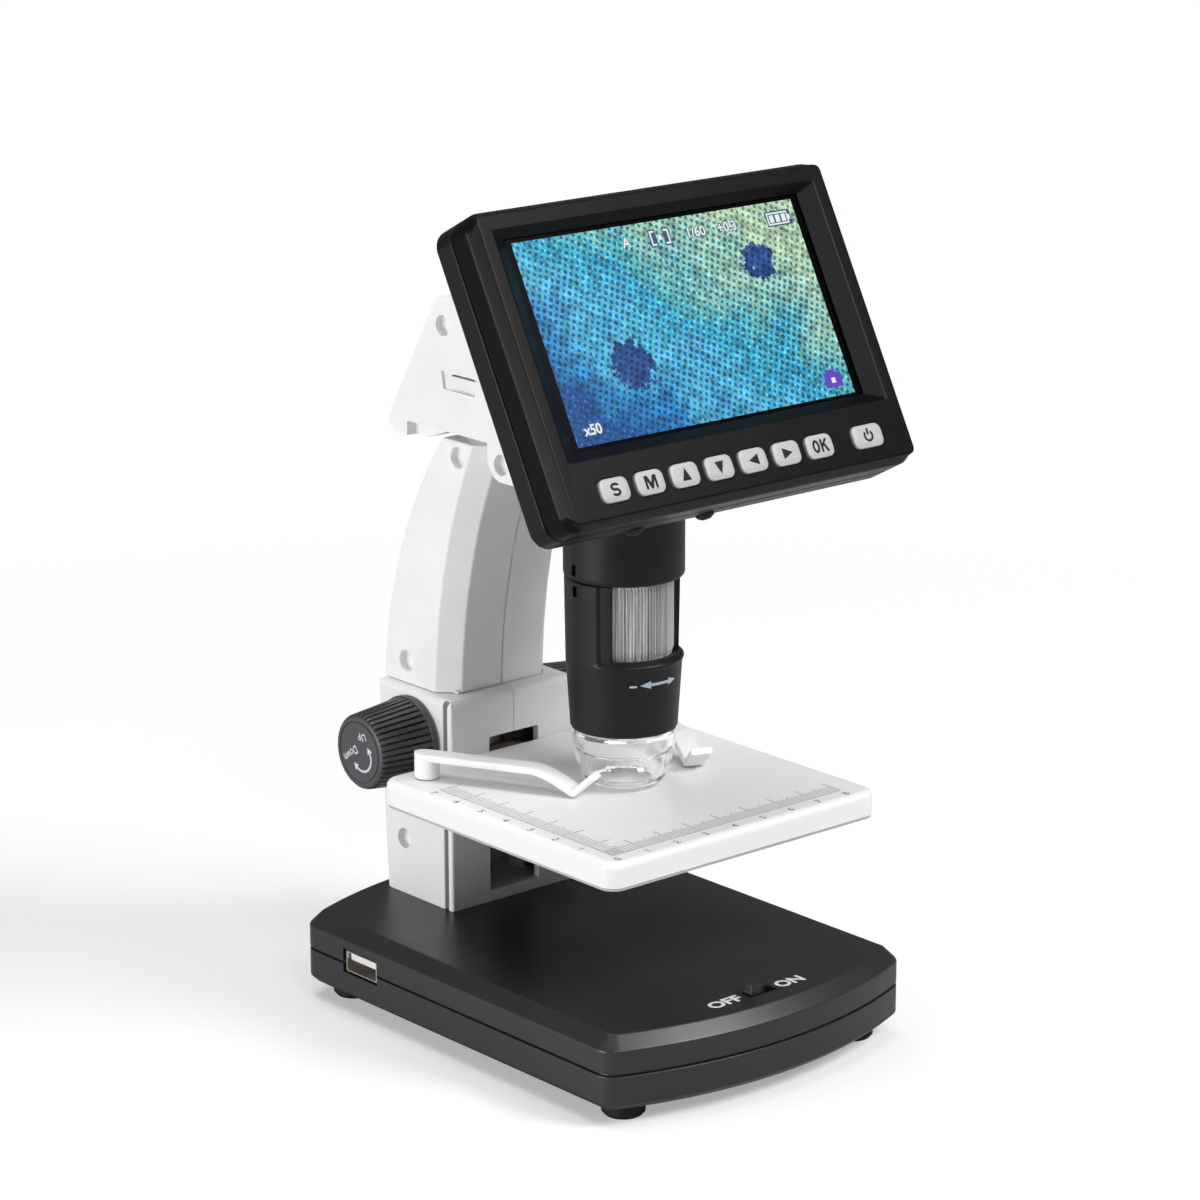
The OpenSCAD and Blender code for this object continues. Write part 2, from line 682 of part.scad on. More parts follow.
module shaft_bushes() {
    color(BRASS) for (s = [-1, 1]) difference() {
        union() {
            rod_x(s > 0 ? column_hw - 6.2 : -column_hw, s > 0 ? column_hw : 6.2 - column_hw, shaft_y, shaft_z, bush_r);
            rod_x(s > 0 ? column_hw - 6.6 : 5.6 - column_hw, s > 0 ? column_hw - 5.6 : 6.6 - column_hw,
                shaft_y, shaft_z, bush_r + 1.2);
        }
        rod_x(-30, 30, shaft_y, shaft_z, shaft_r + slip);
    }
}

module pinion_shaft() {
    color(STEEL) rod_x(-knob_face_x + 3, knob_face_x - 3, shaft_y, shaft_z, shaft_r);
}

// One tooth of the pinion, standing on its root circle
module pinion_tooth() {
    m = gear_module;
    polygon([[pitch_r - 1.3 * m, -1.02 * m], [pitch_r, -0.70 * m], [pitch_r + 0.9 * m, -0.32 * m],
             [pitch_r + 0.9 * m, 0.32 * m], [pitch_r, 0.70 * m], [pitch_r - 1.3 * m, 1.02 * m]]);
}

module pinion_gear() {
    color(BRASS) difference() {
        translate([-4, shaft_y, shaft_z]) rotate([90, 0, 90]) linear_extrude(8) {
            circle(r = pitch_r - 1.25 * gear_module);
            // a tooth points at the rack
            for (i = [0 : pinion_teeth - 1]) rotate([0, 0, 180 + i * 360 / pinion_teeth]) pinion_tooth();
        }
        rod_x(-5, 5, shaft_y, shaft_z, shaft_r + 0.02);
    }
}

// Knob standing on z = 0 with its outer face up: a turned body, hollow at its root, with ribs round it
module knob() {
    len = knob_face_x - knob_root_x;
    r0 = knob_root_d / 2;
    r1 = knob_end_d / 2;
    bore = shaft_r + 0.02;
    band_z = len - knob_band;
    rotate_extrude($fn = 96) polygon([
        [0, band_z], [bore, band_z], [bore, 0], [4.4, 0], [4.4, len - 8], [r0 - 3, len - 8], [r0 - 3, 0],
        [r0, 0], [r0, knob_rim], [r0 - 1.1, knob_rim], [r1 - 0.5, band_z], [r1, band_z], [r1, len - knob_bead],
        [r1 - knob_bead, len], [r1 - 2.1, len], [r1 - 2.1, len - 0.3], [r1 - 2.6, len - 0.3], [r1 - 2.6, len],
        [0, len],
    ]);
    for (i = [0 : knob_ribs - 1]) rotate([0, 0, i * 360 / knob_ribs])
        rotate([90, 0, 0]) translate([0, 0, -knob_rib_w / 2]) linear_extrude(knob_rib_w)
            polygon([[r1 - 2.4, knob_rim - 0.2], [r0 - 0.5, knob_rim - 0.2],
                     [r1 - 0.1, band_z + 0.2], [r1 - 2.4, band_z + 0.2]]);
}

module knob_left() { color(BLACK) translate([-knob_root_x, shaft_y, shaft_z]) rotate([0, -90, 0]) knob(); }
module knob_right() { color(BLACK) translate([knob_root_x, shaft_y, shaft_z]) rotate([0, 90, 0]) knob(); }

// ---------------------------------------------------------------- stage

module stage_plate() {
    hw = stage_hw;
    r = stage_corner_r;
    color(WHITE) difference() {
        union() {
            round_slab(-hw, hw, stage_front_y, stage_rear_y, r, stage_low_z + stage_lip, stage_top_z, stage_round);
            slab(-hw + stage_lip_in, hw - stage_lip_in, stage_front_y + stage_lip_in, stage_rear_y - stage_lip_in,
                r - stage_lip_in, stage_low_z, stage_low_z + stage_lip + tiny);
        }
        difference() {
            slab(-hw + wall, hw - wall, stage_front_y + wall, stage_rear_y - wall, r - wall,
                stage_low_z - 1, stage_top_z - stage_skin);
            for (x = [-28, 28]) translate([x, stage_front_y, stage_low_z]) cube([1.2, 100, stage_t]);
            for (y = [-32, -4]) translate([-hw, y, stage_low_z + 2]) cube([2 * hw, 1.2, stage_t]);
            for (s = [-1, 1]) translate([s * clip_pivot_x, clip_pivot_y, stage_low_z + 1]) cylinder(r = 4.2, h = stage_t);
            for (s = [-1, 1], y = stage_screw_y) translate([s * 5, y, stage_low_z]) cylinder(r = 2.9, h = stage_t);
            translate([0, 0, stage_low_z]) linear_extrude(stage_t) difference() {
                translate([-11.5, 3]) square([23, 30]);
                translate([-10.3, 4.2]) square([20.6, 30]);
            }
        }
        // the carriage's neck comes in through the rear wall
        translate([-neck_hw - gap, stage_rear_y - wall - 3, stage_low_z - 1])
            cube([2 * (neck_hw + gap), wall + 4, neck_high_z - stage_low_z + 1 + gap]);
        for (s = [-1, 1]) translate([s * clip_pivot_x, clip_pivot_y, stage_low_z - 1])
            cylinder(r = 1.25 + slip, h = stage_t + 2);
        for (s = [-1, 1], y = stage_screw_y) translate([s * 5, y, stage_low_z - 1]) cylinder(r = screw_r + slip, h = 6);
    }
}

module stage_carriage() {
    top = neck_high_z;
    color(BLACK) difference() {
        union() {
            // tongue under the plate, neck through the slot, and the wings in the rails
            translate([-9, 5, neck_low_z]) cube([18, stage_rear_y - 5, stage_low_z - neck_low_z - 0.1]);
            translate([-neck_hw, stage_rear_y - wall - 2, neck_low_z])
                cube([2 * neck_hw, carriage_y - stage_rear_y + wall + 3, top - neck_low_z]);
            translate([-rail_x - 2.7, carriage_y, neck_low_z - 1]) cube([2 * rail_x + 5.4, wing_t, top + 1 - neck_low_z]);
        }
        for (s = [-1, 1], y = stage_screw_y) translate([s * 5, y, neck_low_z - 1]) cylinder(r = screw_r + 0.2, h = 10);
        for (s = [-1, 1], y = stage_screw_y) translate([s * 5, y, neck_low_z - 1]) cylinder(r = screw_head_r + 0.2, h = 3.2);
    }
}

module stage_rack() {
    m = gear_module;
    y0 = carriage_y + wing_t;
    root_y = rack_pitch_y - 1.25 * m;
    low = ceil((rack_low_z + m * 1.2 - shaft_z) / tooth_pitch - 0.5);
    high = floor((rack_high_z - m * 1.2 - shaft_z) / tooth_pitch - 0.5);
    color(STEEL) union() {
        translate([-rack_hw, y0, rack_low_z]) cube([2 * rack_hw, root_y - y0, rack_high_z - rack_low_z]);
        // teeth straddle the height of the shaft, where a pinion tooth points at the rack
        side(-rack_hw, rack_hw) for (i = [low : high]) translate([rack_pitch_y, shaft_z + (i + 0.5) * tooth_pitch])
            polygon([[-1.3 * m, -1.16 * m], [0, -0.72 * m], [0.85 * m, -0.42 * m],
                     [0.85 * m, 0.42 * m], [0, 0.72 * m], [-1.3 * m, 1.16 * m]]);
    }
}

module stage_screws() {
    color(STEEL) for (s = [-1, 1], y = stage_screw_y) translate([s * 5, y, neck_low_z + 2.2])
        screw(screw_r, screw_head_r, 2, 8.5);
}

// Clip that swings about its post; it reaches out along +X from the pivot and ends in a lifted tip
module clip() {
    strip = [[-clip_w / 2, clip_top_z - clip_t], [16, clip_top_z - clip_t], [25, clip_top_z - 3.4 - clip_t / 2],
             [clip_reach - 1, stage_top_z + gap], [clip_reach + 1, stage_top_z + gap],
             [clip_reach + 5.8, stage_top_z + 5.1], [clip_reach + 4.6, stage_top_z + 6.1],
             [clip_reach - 0.2, stage_top_z + 2], [26, clip_top_z - 2.5], [16.5, clip_top_z], [-clip_w / 2, clip_top_z]];
    difference() {
        union() {
            translate([0, 0, stage_top_z + gap]) cylinder(r = clip_post_r, h = clip_top_z - stage_top_z - gap - 1);
            intersection() {
                translate([0, clip_w / 2, 0]) rotate([90, 0, 0]) linear_extrude(clip_w) polygon(strip);
                union() {
                    translate([0, -clip_w / 2, 0]) cube([clip_reach + 8, clip_w, 200]);
                    cylinder(r = clip_w / 2, h = 200);
                }
            }
        }
        translate([0, 0, stage_top_z - 1]) cylinder(r = 1.25 + slip, h = 6.5);
    }
}

module clip_left() {
    color(WHITE) translate([-clip_pivot_x, clip_pivot_y, 0]) rotate([0, 0, clip_left_angle]) clip();
}
module clip_right() {
    color(WHITE) translate([clip_pivot_x, clip_pivot_y, 0]) rotate([0, 0, clip_right_angle]) clip();
}

module clip_pins() {
    color(STEEL) for (s = [-1, 1]) translate([s * clip_pivot_x, clip_pivot_y, stage_low_z + 1])
        screw(1.25, 2.4, 1.2, stage_t + 3);
}

// ---------------------------------------------------------------- arm

// Side outline of the arm, shrunk by d, between two heights
module arm_outline(d, z0, z1) {
    difference() {
        intersection() {
            translate(arm_rear_c) circle(r = arm_rear_r - d, $fn = fine);
            translate([0, z0]) square([far, z1 - z0]);
        }
        translate(arm_front_c) circle(r = arm_front_r + d, $fn = fine);
    }
}

// Bevelled bands down both front edges: everything outside the band, turned about the front curve's axis
module arm_bands(d) {
    cut = arm_hw - arm_front_w / 2;
    depth = arm_band_r - arm_front_r;
    for (s = [-1, 1]) translate([0, arm_front_c[0], arm_front_c[1]]) rotate([0, 90, 0])
        rotate_extrude($fn = fine)
            polygon([for (p = [[arm_front_r + d - 12, arm_front_w / 2 - 12 * cut / depth],
                               [arm_front_r + d + depth + 1, arm_front_w / 2 + cut * (1 + 1 / depth)],
                               [arm_front_r + d - 12, arm_hw + 20]]) [p[0], s * p[1]]]);
}

module arm_solid(d, z0, z1) {
    difference() {
        side(-arm_hw + d, arm_hw - d) arm_outline(d, z0, z1);
        arm_bands(d);
    }
}

module arm_half(s) {
    low = column_top_z + 0.1;
    difference() {
        union() {
            difference() {
                arm_solid(0, low, arm_top_z);
                arm_solid(wall, low + wall, arm_top_z - wall);
            }
            // bosses for the two side screws
            intersection() {
                arm_solid(0.5, low, arm_top_z);
                union() for (p = [arm_screw_low, arm_screw_top]) rod_x(-arm_hw, arm_hw, p[0], p[1], 4.2);
            }
            // foot with its waist and flange
            translate([-waist_hw, waist_y0, column_top_z - wall - 1])
                cube([2 * waist_hw, waist_y1 - waist_y0, wall + 2]);
            translate([-waist_hw - 2, waist_y0 - 1.6, waist_flange_z])
                cube([2 * waist_hw + 4, waist_y1 - waist_y0 + 3.2, 2.6]);
            // tongue that stands up into the bracket
            side(-tongue_hw, tongue_hw) translate([tongue_y0, arm_top_z - 1])
                square([tongue_y1 - tongue_y0, bracket_floor_z + wall + 3 - arm_top_z]);
            side(-tongue_hw - tongue_lip, tongue_hw + tongue_lip)
                translate([tongue_y0 - tongue_lip, bracket_floor_z + wall + seat])
                square([tongue_y1 - tongue_y0 + 2 * tongue_lip, 2]);
        }
        other_half(s);
        // way through the foot for the rack and the cable
        translate([-waist_hw + 2.2, waist_y0 + 2, column_top_z - 6])
            cube([2 * waist_hw - 4.4, waist_y1 - waist_y0 - 4, 6 + wall + 0.2]);
        side(3 - tongue_hw, tongue_hw - 3) translate([tongue_y0 + wall, arm_top_z - wall - 1])
            square([tongue_y1 - tongue_y0 - 2 * wall, 20]);
        for (p = [arm_screw_low, arm_screw_top]) {
            rod_x(-arm_hw - 1, -arm_hw + 7, p[0], p[1], side_screw_r);
            rod_x(-arm_hw, 0, p[0], p[1], screw_r + 0.2);
            rod_x(-1, 12, p[0], p[1], screw_r + slip);
        }
    }
}

module arm_left_shell() { color(WHITE) arm_half(-1); }
module arm_right_shell() { color(WHITE) arm_half(1); }

module arm_screws() {
    color(STEEL) for (p = [arm_screw_low, arm_screw_top]) translate([-arm_hw + 7, p[0], p[1]])
        rotate([0, 90, 0]) screw(screw_r, side_screw_head_r, 2, 23);
}

// ---------------------------------------------------------------- bracket

// Front face of the bracket, as a boss axis square to the head's rear
module mount_places() {
    head_frame() for (p = mount_uv) translate([p[0], p[1], 0]) children();
}

module bracket_half(s) {
    hw = bracket_hw;
    difference() {
        union() {
            difference() {
                side(-hw, hw) polygon(bracket_outline);
                side(-hw + wall, hw - wall) polygon(inset(bracket_core, wall));
            }
            intersection() {
                side(-hw + 0.5, hw - 0.5) polygon(inset(bracket_outline, 0.5));
                union() {
                    for (p = [bracket_screw_top, bracket_screw_low]) rod_x(-hw, hw, p[0], p[1], 4);
                    mount_places() translate([0, 0, head_rear - 9]) cylinder(r = 3.4, h = 9);
                }
            }
            // underside ramp behind the arm
            side(-hw + 3, hw - 3) polygon([
                [bracket_foot[0], bracket_foot[1]], [bracket_foot[0], bracket_floor_z + 0.7],
                [arm_rear_top_y + gap, bracket_floor_z + 0.7], [arm_rear_top_y + gap, bracket_floor_z - 0.9],
                [bracket_foot[0] - 5.6, bracket_foot[1]],
            ]);
        }
        other_half(s);
        // the arm's tongue comes in from below
        side(-tongue_hw - seat, tongue_hw + seat) translate([tongue_y0 - seat, bracket_floor_z - 1])
            square([tongue_y1 - tongue_y0 + 2 * seat, wall + 2]);
        // the tube's collar
        tube_frame() translate([0, 0, 120]) cylinder(r = collar_r + slip, h = collar_high_z - 120 + 0.1, $fn = 96);
        mount_places() translate([0, 0, head_rear - 8]) cylinder(r = screw_r + slip, h = 10);
        translate([-8, -60, 166]) cube([16, 45, 12]);
        // side recess round a catch, whose tab is cut free of the wall
        difference() {
            side(s > 0 ? hw - 0.8 : -hw - 1, s > 0 ? hw + 1 : 0.8 - hw) polygon(catch_recess);
            side(s > 0 ? 0 : -hw, s > 0 ? hw : 0) polygon(catch_tab);
        }
        difference() {
            side(s > 0 ? hw - wall - 1 : -hw - 1, s > 0 ? hw + 1 : wall + 1 - hw) polygon(inset(catch_tab, -catch_slit));
            side(-hw - 2, hw + 2) polygon(catch_tab);
            side(-hw - 2, hw + 2) translate([25, 171]) square([2.5, 4]);
        }
        for (p = [bracket_screw_top, bracket_screw_low]) {
            rod_x(-hw - 1, -hw + 6, p[0], p[1], side_screw_r);
            rod_x(-hw, 0, p[0], p[1], screw_r + 0.2);
            rod_x(-1, 12, p[0], p[1], screw_r + slip);
        }
    }
}

module bracket_left_shell() { color(WHITE) bracket_half(-1); }
module bracket_right_shell() { color(WHITE) bracket_half(1); }

module bracket_screws() {
    color(STEEL) for (p = [bracket_screw_top, bracket_screw_low]) translate([-bracket_hw + 6, p[0], p[1]])
        rotate([0, 90, 0]) screw(screw_r, side_screw_head_r, 2, 25);
}

module head_mount_screws() {
    color(STEEL) mount_places() translate([0, 0, head_rear + wall]) rotate([180, 0, 0])
        screw(screw_r, screw_head_r, 1.8, 9);
}

// ---------------------------------------------------------------- head

module head_block(d, z0, z1, in0 = 0, in1 = 0) {
    slab(-head_hw + d, head_hw - d, head_low + d, head_high - d, head_corner_r - d, z0, z1, in0, in1);
}

module head_rear_shell() {
    z1 = head_part - 0.15;
    color(BLACK) head_frame() difference() {
        union() {
            difference() {
                union() {
                    head_block(0, head_rear, head_rear + 2, 2, 0);
                    head_block(0, head_rear + 2 - tiny, z1);
                }
                head_block(wall, head_rear + wall, z1 + 1);
            }
            for (p = head_screw_uv) translate([p[0], p[1], head_rear + 1]) cylinder(r = 3.6, h = z1 - head_rear - 1.2);
            for (p = board_post_uv) translate([p[0] + 2 * sign(p[0]), p[1], head_rear + 1])
                cylinder(r = 2.2, h = -8.7 - head_rear - 1);
            for (u = bumper_u) translate([u, head_low + 2.4, head_rear + 1]) cylinder(r = 2.2, h = 7);
        }
        for (p = head_screw_uv) translate([p[0], p[1], head_rear - 1]) {
            cylinder(r = 2.3, h = 4.5);
            cylinder(r = 1.2, h = 12);
        }
        for (p = mount_uv) translate([p[0], p[1], head_rear - 1]) cylinder(r = screw_r + 0.2, h = 5);
        translate([-8, -22, head_rear - 1]) cube([16, 12, wall + 2]);
        // seats of the two bumpers
        for (u = bumper_u) translate([u, head_low, head_rear + 3.8]) rotate([-90, 0, 0])
            translate([0, 0, -1]) cylinder(r = 1.2 + slip, h = 4);
    }
}

module head_front_bezel() {
    z0 = head_part + 0.15;
    cavity_z = head_face - plate_t;
    color(BLACK) head_frame() difference() {
        union() {
            difference() {
                union() {
                    head_block(0, z0, head_face - head_bevel[1]);
                    head_block(0, head_face - head_bevel[1] - tiny, head_face, 0, head_bevel[0]);
                }
                head_block(wall, z0 - 1, cavity_z);
            }
            for (p = head_screw_uv) translate([p[0], p[1], z0]) cylinder(r = 2.6, h = cavity_z - z0 + 1);
            for (i = [0 : 2 : 6]) translate([key_first_u + (i + 0.5) * key_pitch, head_low + 3, -1.45])
                cylinder(r = 1, h = cavity_z + 2);
        }
        // sloped recess round the screen, then the opening
        screen_recess();
        translate([-recess_in[0], -recess_in[1], -2]) cube([2 * recess_in[0], recess_in[1] + recess_in[2], 6]);
        for (i = [0 : 6]) key_hole(key_first_u + i * key_pitch, key_w);
        key_hole(power_u, power_w);
        for (p = head_screw_uv) translate([p[0], p[1], z0 - 1]) cylinder(r = 1.05, h = cavity_z - z0 + 0.4);
    }
}

module screen_recess() {
    ox = recess_out[0];
    ix = recess_in[0];
    intersection() {
        translate([0, far / 2, 0]) rotate([90, 0, 0]) linear_extrude(far)
            polygon([[-ix, 0], [ix, 0], [ox + (ox - ix) / 3, head_face + 1], [-ox - (ox - ix) / 3, head_face + 1]]);
        translate([-far / 2, 0, 0]) rotate([90, 0, 90]) linear_extrude(far)
            polygon([[-recess_in[1], 0], [recess_in[2], 0],
                     [recess_out[2] + (recess_out[2] - recess_in[2]) / 3, head_face + 1],
                     [-recess_out[1] - (recess_out[1] - recess_in[1]) / 3, head_face + 1]]);
    }
}

module key_hole(u, w) {
    slab(u - w / 2 - 0.2, u + w / 2 + 0.2, key_v - key_h / 2 - 0.2, key_v + key_h / 2 + 0.2, 2.2, -1, head_face + 1);
}

module head_screws() {
    color(STEEL) head_frame() for (p = head_screw_uv) translate([p[0], p[1], head_rear + 3.5])
        screw(1, 2, 1.6, 11.5);
}

module head_bumpers() {
    color(BLACK) head_frame() for (u = bumper_u) translate([u, head_low, head_rear + 3.8]) rotate([90, 0, 0]) {
        translate([0, 0, -2.4]) cylinder(r = 1.2, h = 2.5);
        translate([0, 0, tiny]) cylinder(r1 = 2.6, r2 = 2.2, h = 0.7);
        translate([0, 0, 0.7]) cylinder(r1 = 2.2, r2 = 1.2, h = 0.6);
    }
}

module lcd_panel() {
    color(BLACK) head_frame() translate([-lcd_hw, lcd_y0, -3.1]) cube([2 * lcd_hw, lcd_y1 - lcd_y0, 2.9]);
}

module lcd_frame() {
    color(STEEL) head_frame() {
        translate([-lcd_hw - 0.4, lcd_y0 - 0.3, -4.1]) cube([2 * lcd_hw + 0.8, lcd_y1 - lcd_y0 + 0.6, 0.8]);
        for (p = board_post_uv) translate([p[0], p[1], -6.9]) cylinder(r = 1.8, h = 3);
    }
}

module main_board() {
    color(BOARD) head_frame() translate([-main_board_hw, main_board_low, -8.6])
        cube([2 * main_board_hw, main_board_high - main_board_low, board_t]);
    color(BLACK) head_frame() for (c = [[-16, -14, 14], [8, 2, 10], [-36, 6, 8]])
        translate([c[0], c[1], -10]) cube([c[2], c[2], 1.41]);
}

module key_board() {
    color(BOARD) head_frame() translate([key_first_u - 6.4, head_low + wall + gap, key_board_z - board_t])
        cube([power_u - key_first_u + 14.2, 8.8, board_t]);
    color(STEEL) head_frame() for (u = [for (i = [0 : 6]) key_first_u + i * key_pitch, power_u])
        translate([u, key_v, key_board_z - tiny]) cylinder(r1 = 2.2, r2 = 1.4, h = key_back - key_travel - 0.15 - key_board_z);
}

// Key with its cap through the face and its flange behind
module key(u, w) {
    z_top = head_face + key_proud;
    color(KEYS) head_frame() {
        slab(u - w / 2, u + w / 2, key_v - key_h / 2, key_v + key_h / 2, 2, key_back, z_top - 0.4);
        slab(u - w / 2, u + w / 2, key_v - key_h / 2, key_v + key_h / 2, 2, z_top - 0.4 - tiny, z_top, 0, 0.4);
        slab(u - w / 2 - key_flange, u + w / 2 + key_flange, key_v - key_h / 2 - key_flange,
            key_v + key_h / 2 + key_flange, 2, key_back, key_back + 0.5);
    }
}

module key_s() { key(key_first_u, key_w); }
module key_m() { key(key_first_u + key_pitch, key_w); }
module key_up() { key(key_first_u + 2 * key_pitch, key_w); }
module key_down() { key(key_first_u + 3 * key_pitch, key_w); }
module key_left() { key(key_first_u + 4 * key_pitch, key_w); }
module key_right() { key(key_first_u + 5 * key_pitch, key_w); }
module key_ok() { key(key_first_u + 6 * key_pitch, key_w); }
module key_power() { key(power_u, power_w); }

// ---------------------------------------------------------------- lens tube

module tube_collar() {
    color(BLACK) tube_frame() difference() {
        union() {
            cylinder_at(collar_r, collar_low_z, collar_high_z);
            cylinder_at(collar_flange_r, bracket_low_z + wall + seat, collar_high_z);
        }
        cylinder_at(neck_r + slip, collar_low_z - 1, collar_low_z + 5);
        cylinder_at(14, collar_low_z, collar_high_z + 1);
        // slot of the snap that holds the housing
        snap_slot(collar_low_z + 1.6);
    }
}

module cylinder_at(r, z0, z1) { translate([0, 0, z0]) cylinder(r = r, h = z1 - z0, $fn = 96); }

module snap_slot(z0) {
    for (a = [174, -6]) rotate([0, 0, a]) translate([12, -0.9, z0]) cube([6, 1.8, 2.8]);
}

// Housing: bored for the ring above the ledge, for the lens and the tip below it
module tube_housing() {
    top = collar_low_z - 0.1;
    color(BLACK) tube_frame() difference() {
        union() {
            translate([0, 0, housing_low_z]) cylinder(r1 = housing_low_r, r2 = housing_top_r, h = top - housing_low_z, $fn = 96);
            cylinder_at(neck_r, top - tiny, collar_low_z + 4.9);
        }
        cylinder_at(12.6, housing_low_z - 1, ledge_z);
        cylinder_at(nose_r + 0.4, ledge_z - 1, ledge_z + 3);
        cylinder_at(bore_r, ring_low_z - gap, 140);
        // window over the front of the ring
        translate([0, 0, window_low_z]) linear_extrude(top - window_low_z)
            polygon([[0, 0], for (a = [-window_half, 0, window_half]) 26 * [sin(a), -cos(a)]]);
        snap_slot(collar_low_z - 4.2);
    }
}

module ring_retainer() {
    color(BLACK) tube_frame() tube_ring(bore_r - 0.03, thread_r + 0.5, ring_high_z + gap, ring_high_z + 2.4);
}

// Ring with its ribs, threaded inside over the lens barrel
module focus_ring() {
    color(STEEL) tube_frame() difference() {
        union() {
            cylinder_at(ring_r - 0.45, ring_low_z, ring_high_z);
            translate([0, 0, ring_low_z + 0.6]) linear_extrude(ring_high_z - ring_low_z - 1.2)
                for (i = [0 : ring_ribs - 1]) rotate([0, 0, i * 360 / ring_ribs])
                    translate([ring_r - 1, -0.22]) square([1, 0.44]);
        }
        translate([0, 0, ring_low_z - 1]) cylinder(r = thread_r + slip, h = 30, $fn = 96);
    }
}

module lens_barrel() {
    color(BLACK) tube_frame() difference() {
        union() {
            cylinder_at(thread_r, thread_low_z, thread_high_z);
            cylinder_at(nose_r, 93.5, thread_low_z + 1);
        }
        cylinder_at(5.6, 92, 130);
        cylinder_at(8, 117, 130);
    }
}

// Biconvex lens of radius r about z, bulging by sag each side of its rim
module lens(r, z, rim, sag) {
    big = (r * r + sag * sag) / (2 * sag);
    intersection() {
        translate([0, 0, z - rim / 2 - sag + big]) sphere(r = big, $fn = 96);
        translate([0, 0, z + rim / 2 + sag - big]) sphere(r = big, $fn = 96);
        cylinder_at(r, z - rim / 2 - sag, z + rim / 2 + sag);
    }
}

module lens_elements() {
    color([0.8, 0.9, 0.95]) tube_frame() {
        lens(5.57, 96, 1.2, 0.8);
        lens(5.57, 103, 1, 0.7);
        lens(7.95, 118.8, 1.4, 1);
    }
}

module sensor_board() {
    color(BOARD) tube_frame() translate([-11, -11, collar_high_z + 0.1]) cube([22, 22, board_t]);
    color(BLACK) tube_frame() translate([-4, -4, collar_high_z - 1.6]) cube([8, 8, 1.71]);
}

module led_board() {
    color(BOARD) tube_frame() tube_ring(12.5, 8.6, 87, 88.2);
    color(WHITE) tube_frame() for (i = [0 : 7]) rotate([0, 0, 22.5 + i * 45]) translate([9.6, -0.8, 86.2]) cube([1.6, 1.6, 0.81]);
}

// Clear tip: a spigot in the housing, a bowl down to the specimen and a cone inside that spreads the light
module clear_tip() {
    z = tip_low_z;
    color([0.85, 0.92, 0.95, 0.5]) tube_frame() rotate_extrude($fn = 96) polygon([
        [12.55, 87], [11.4, 87], [11.4, 84.4], [12.6, 83.6], [11.6, 77], [9.6, z + 1.6], [7.2, z + 1.2], [7.2, z],
        [9.4, z], [10.4, z + 0.6], [11, z + 1.6], [13, z + 5.8], [14, z + 14], [14, z + 14.7], [12.55, z + 14.7],
    ]);
}

// ---------------------------------------------------------------- parts

base_bottom_shell();
base_top_shell();
rubber_feet();
base_screws();
usb_socket();
usb_tongue();
base_board();
battery_pack();
switch_body();
power_switch_knob();
column_left_shell();
column_right_shell();
column_screws();
column_base_screws();
guide_rails();
shaft_bushes();
pinion_shaft();
pinion_gear();
knob_left();
knob_right();
stage_plate();
stage_carriage();
stage_rack();
stage_screws();
clip_left();
clip_right();
clip_pins();
arm_left_shell();
arm_right_shell();
arm_screws();
bracket_left_shell();
bracket_right_shell();
bracket_screws();
head_mount_screws();
head_rear_shell();
head_front_bezel();
head_screws();
lcd_panel();
lcd_frame();
main_board();
key_board();
head_bumpers();
key_s();
key_m();
key_up();
key_down();
key_left();
key_right();
key_ok();
key_power();
tube_collar();
tube_housing();
ring_retainer();
focus_ring();
lens_barrel();
lens_elements();
sensor_board();
led_board();
clear_tip();
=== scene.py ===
"""Looks of an LCD digital microscope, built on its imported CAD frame. Metres, +Z up, front towards -Y."""
import math

import bpy
import numpy as np
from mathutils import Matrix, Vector
from mathutils.geometry import tessellate_polygon


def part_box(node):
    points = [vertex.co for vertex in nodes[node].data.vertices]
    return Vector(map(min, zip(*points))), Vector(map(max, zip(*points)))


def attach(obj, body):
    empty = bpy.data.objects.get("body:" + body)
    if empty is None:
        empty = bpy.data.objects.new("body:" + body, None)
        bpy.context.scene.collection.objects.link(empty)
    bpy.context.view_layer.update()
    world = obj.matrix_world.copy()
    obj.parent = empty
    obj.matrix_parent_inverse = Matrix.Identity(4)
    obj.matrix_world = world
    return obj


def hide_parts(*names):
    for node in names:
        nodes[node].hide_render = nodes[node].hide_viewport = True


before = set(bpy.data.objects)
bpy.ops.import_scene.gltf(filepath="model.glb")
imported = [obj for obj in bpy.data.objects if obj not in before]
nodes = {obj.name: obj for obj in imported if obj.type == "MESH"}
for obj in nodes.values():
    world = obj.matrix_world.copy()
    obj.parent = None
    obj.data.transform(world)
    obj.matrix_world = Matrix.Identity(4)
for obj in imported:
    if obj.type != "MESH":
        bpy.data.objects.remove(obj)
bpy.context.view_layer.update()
MM = 0.001

# ---------------------------------------------------------------- camera
# The view from the front left, a little above the screen's top. It is a long lens, so that the upright edges
# stay nearly parallel.
camera = bpy.data.objects.new("camera", bpy.data.cameras.new("camera"))
bpy.context.scene.collection.objects.link(camera)
bpy.context.scene.camera = camera
camera.data.sensor_width = 36
camera.data.lens = 123.97
camera.data.clip_end = 10
camera.location = (-0.69083, -0.79944, 0.41365)
camera.rotation_euler = (math.radians(90 - 15.67), math.radians(0.06), math.radians(-40.86))


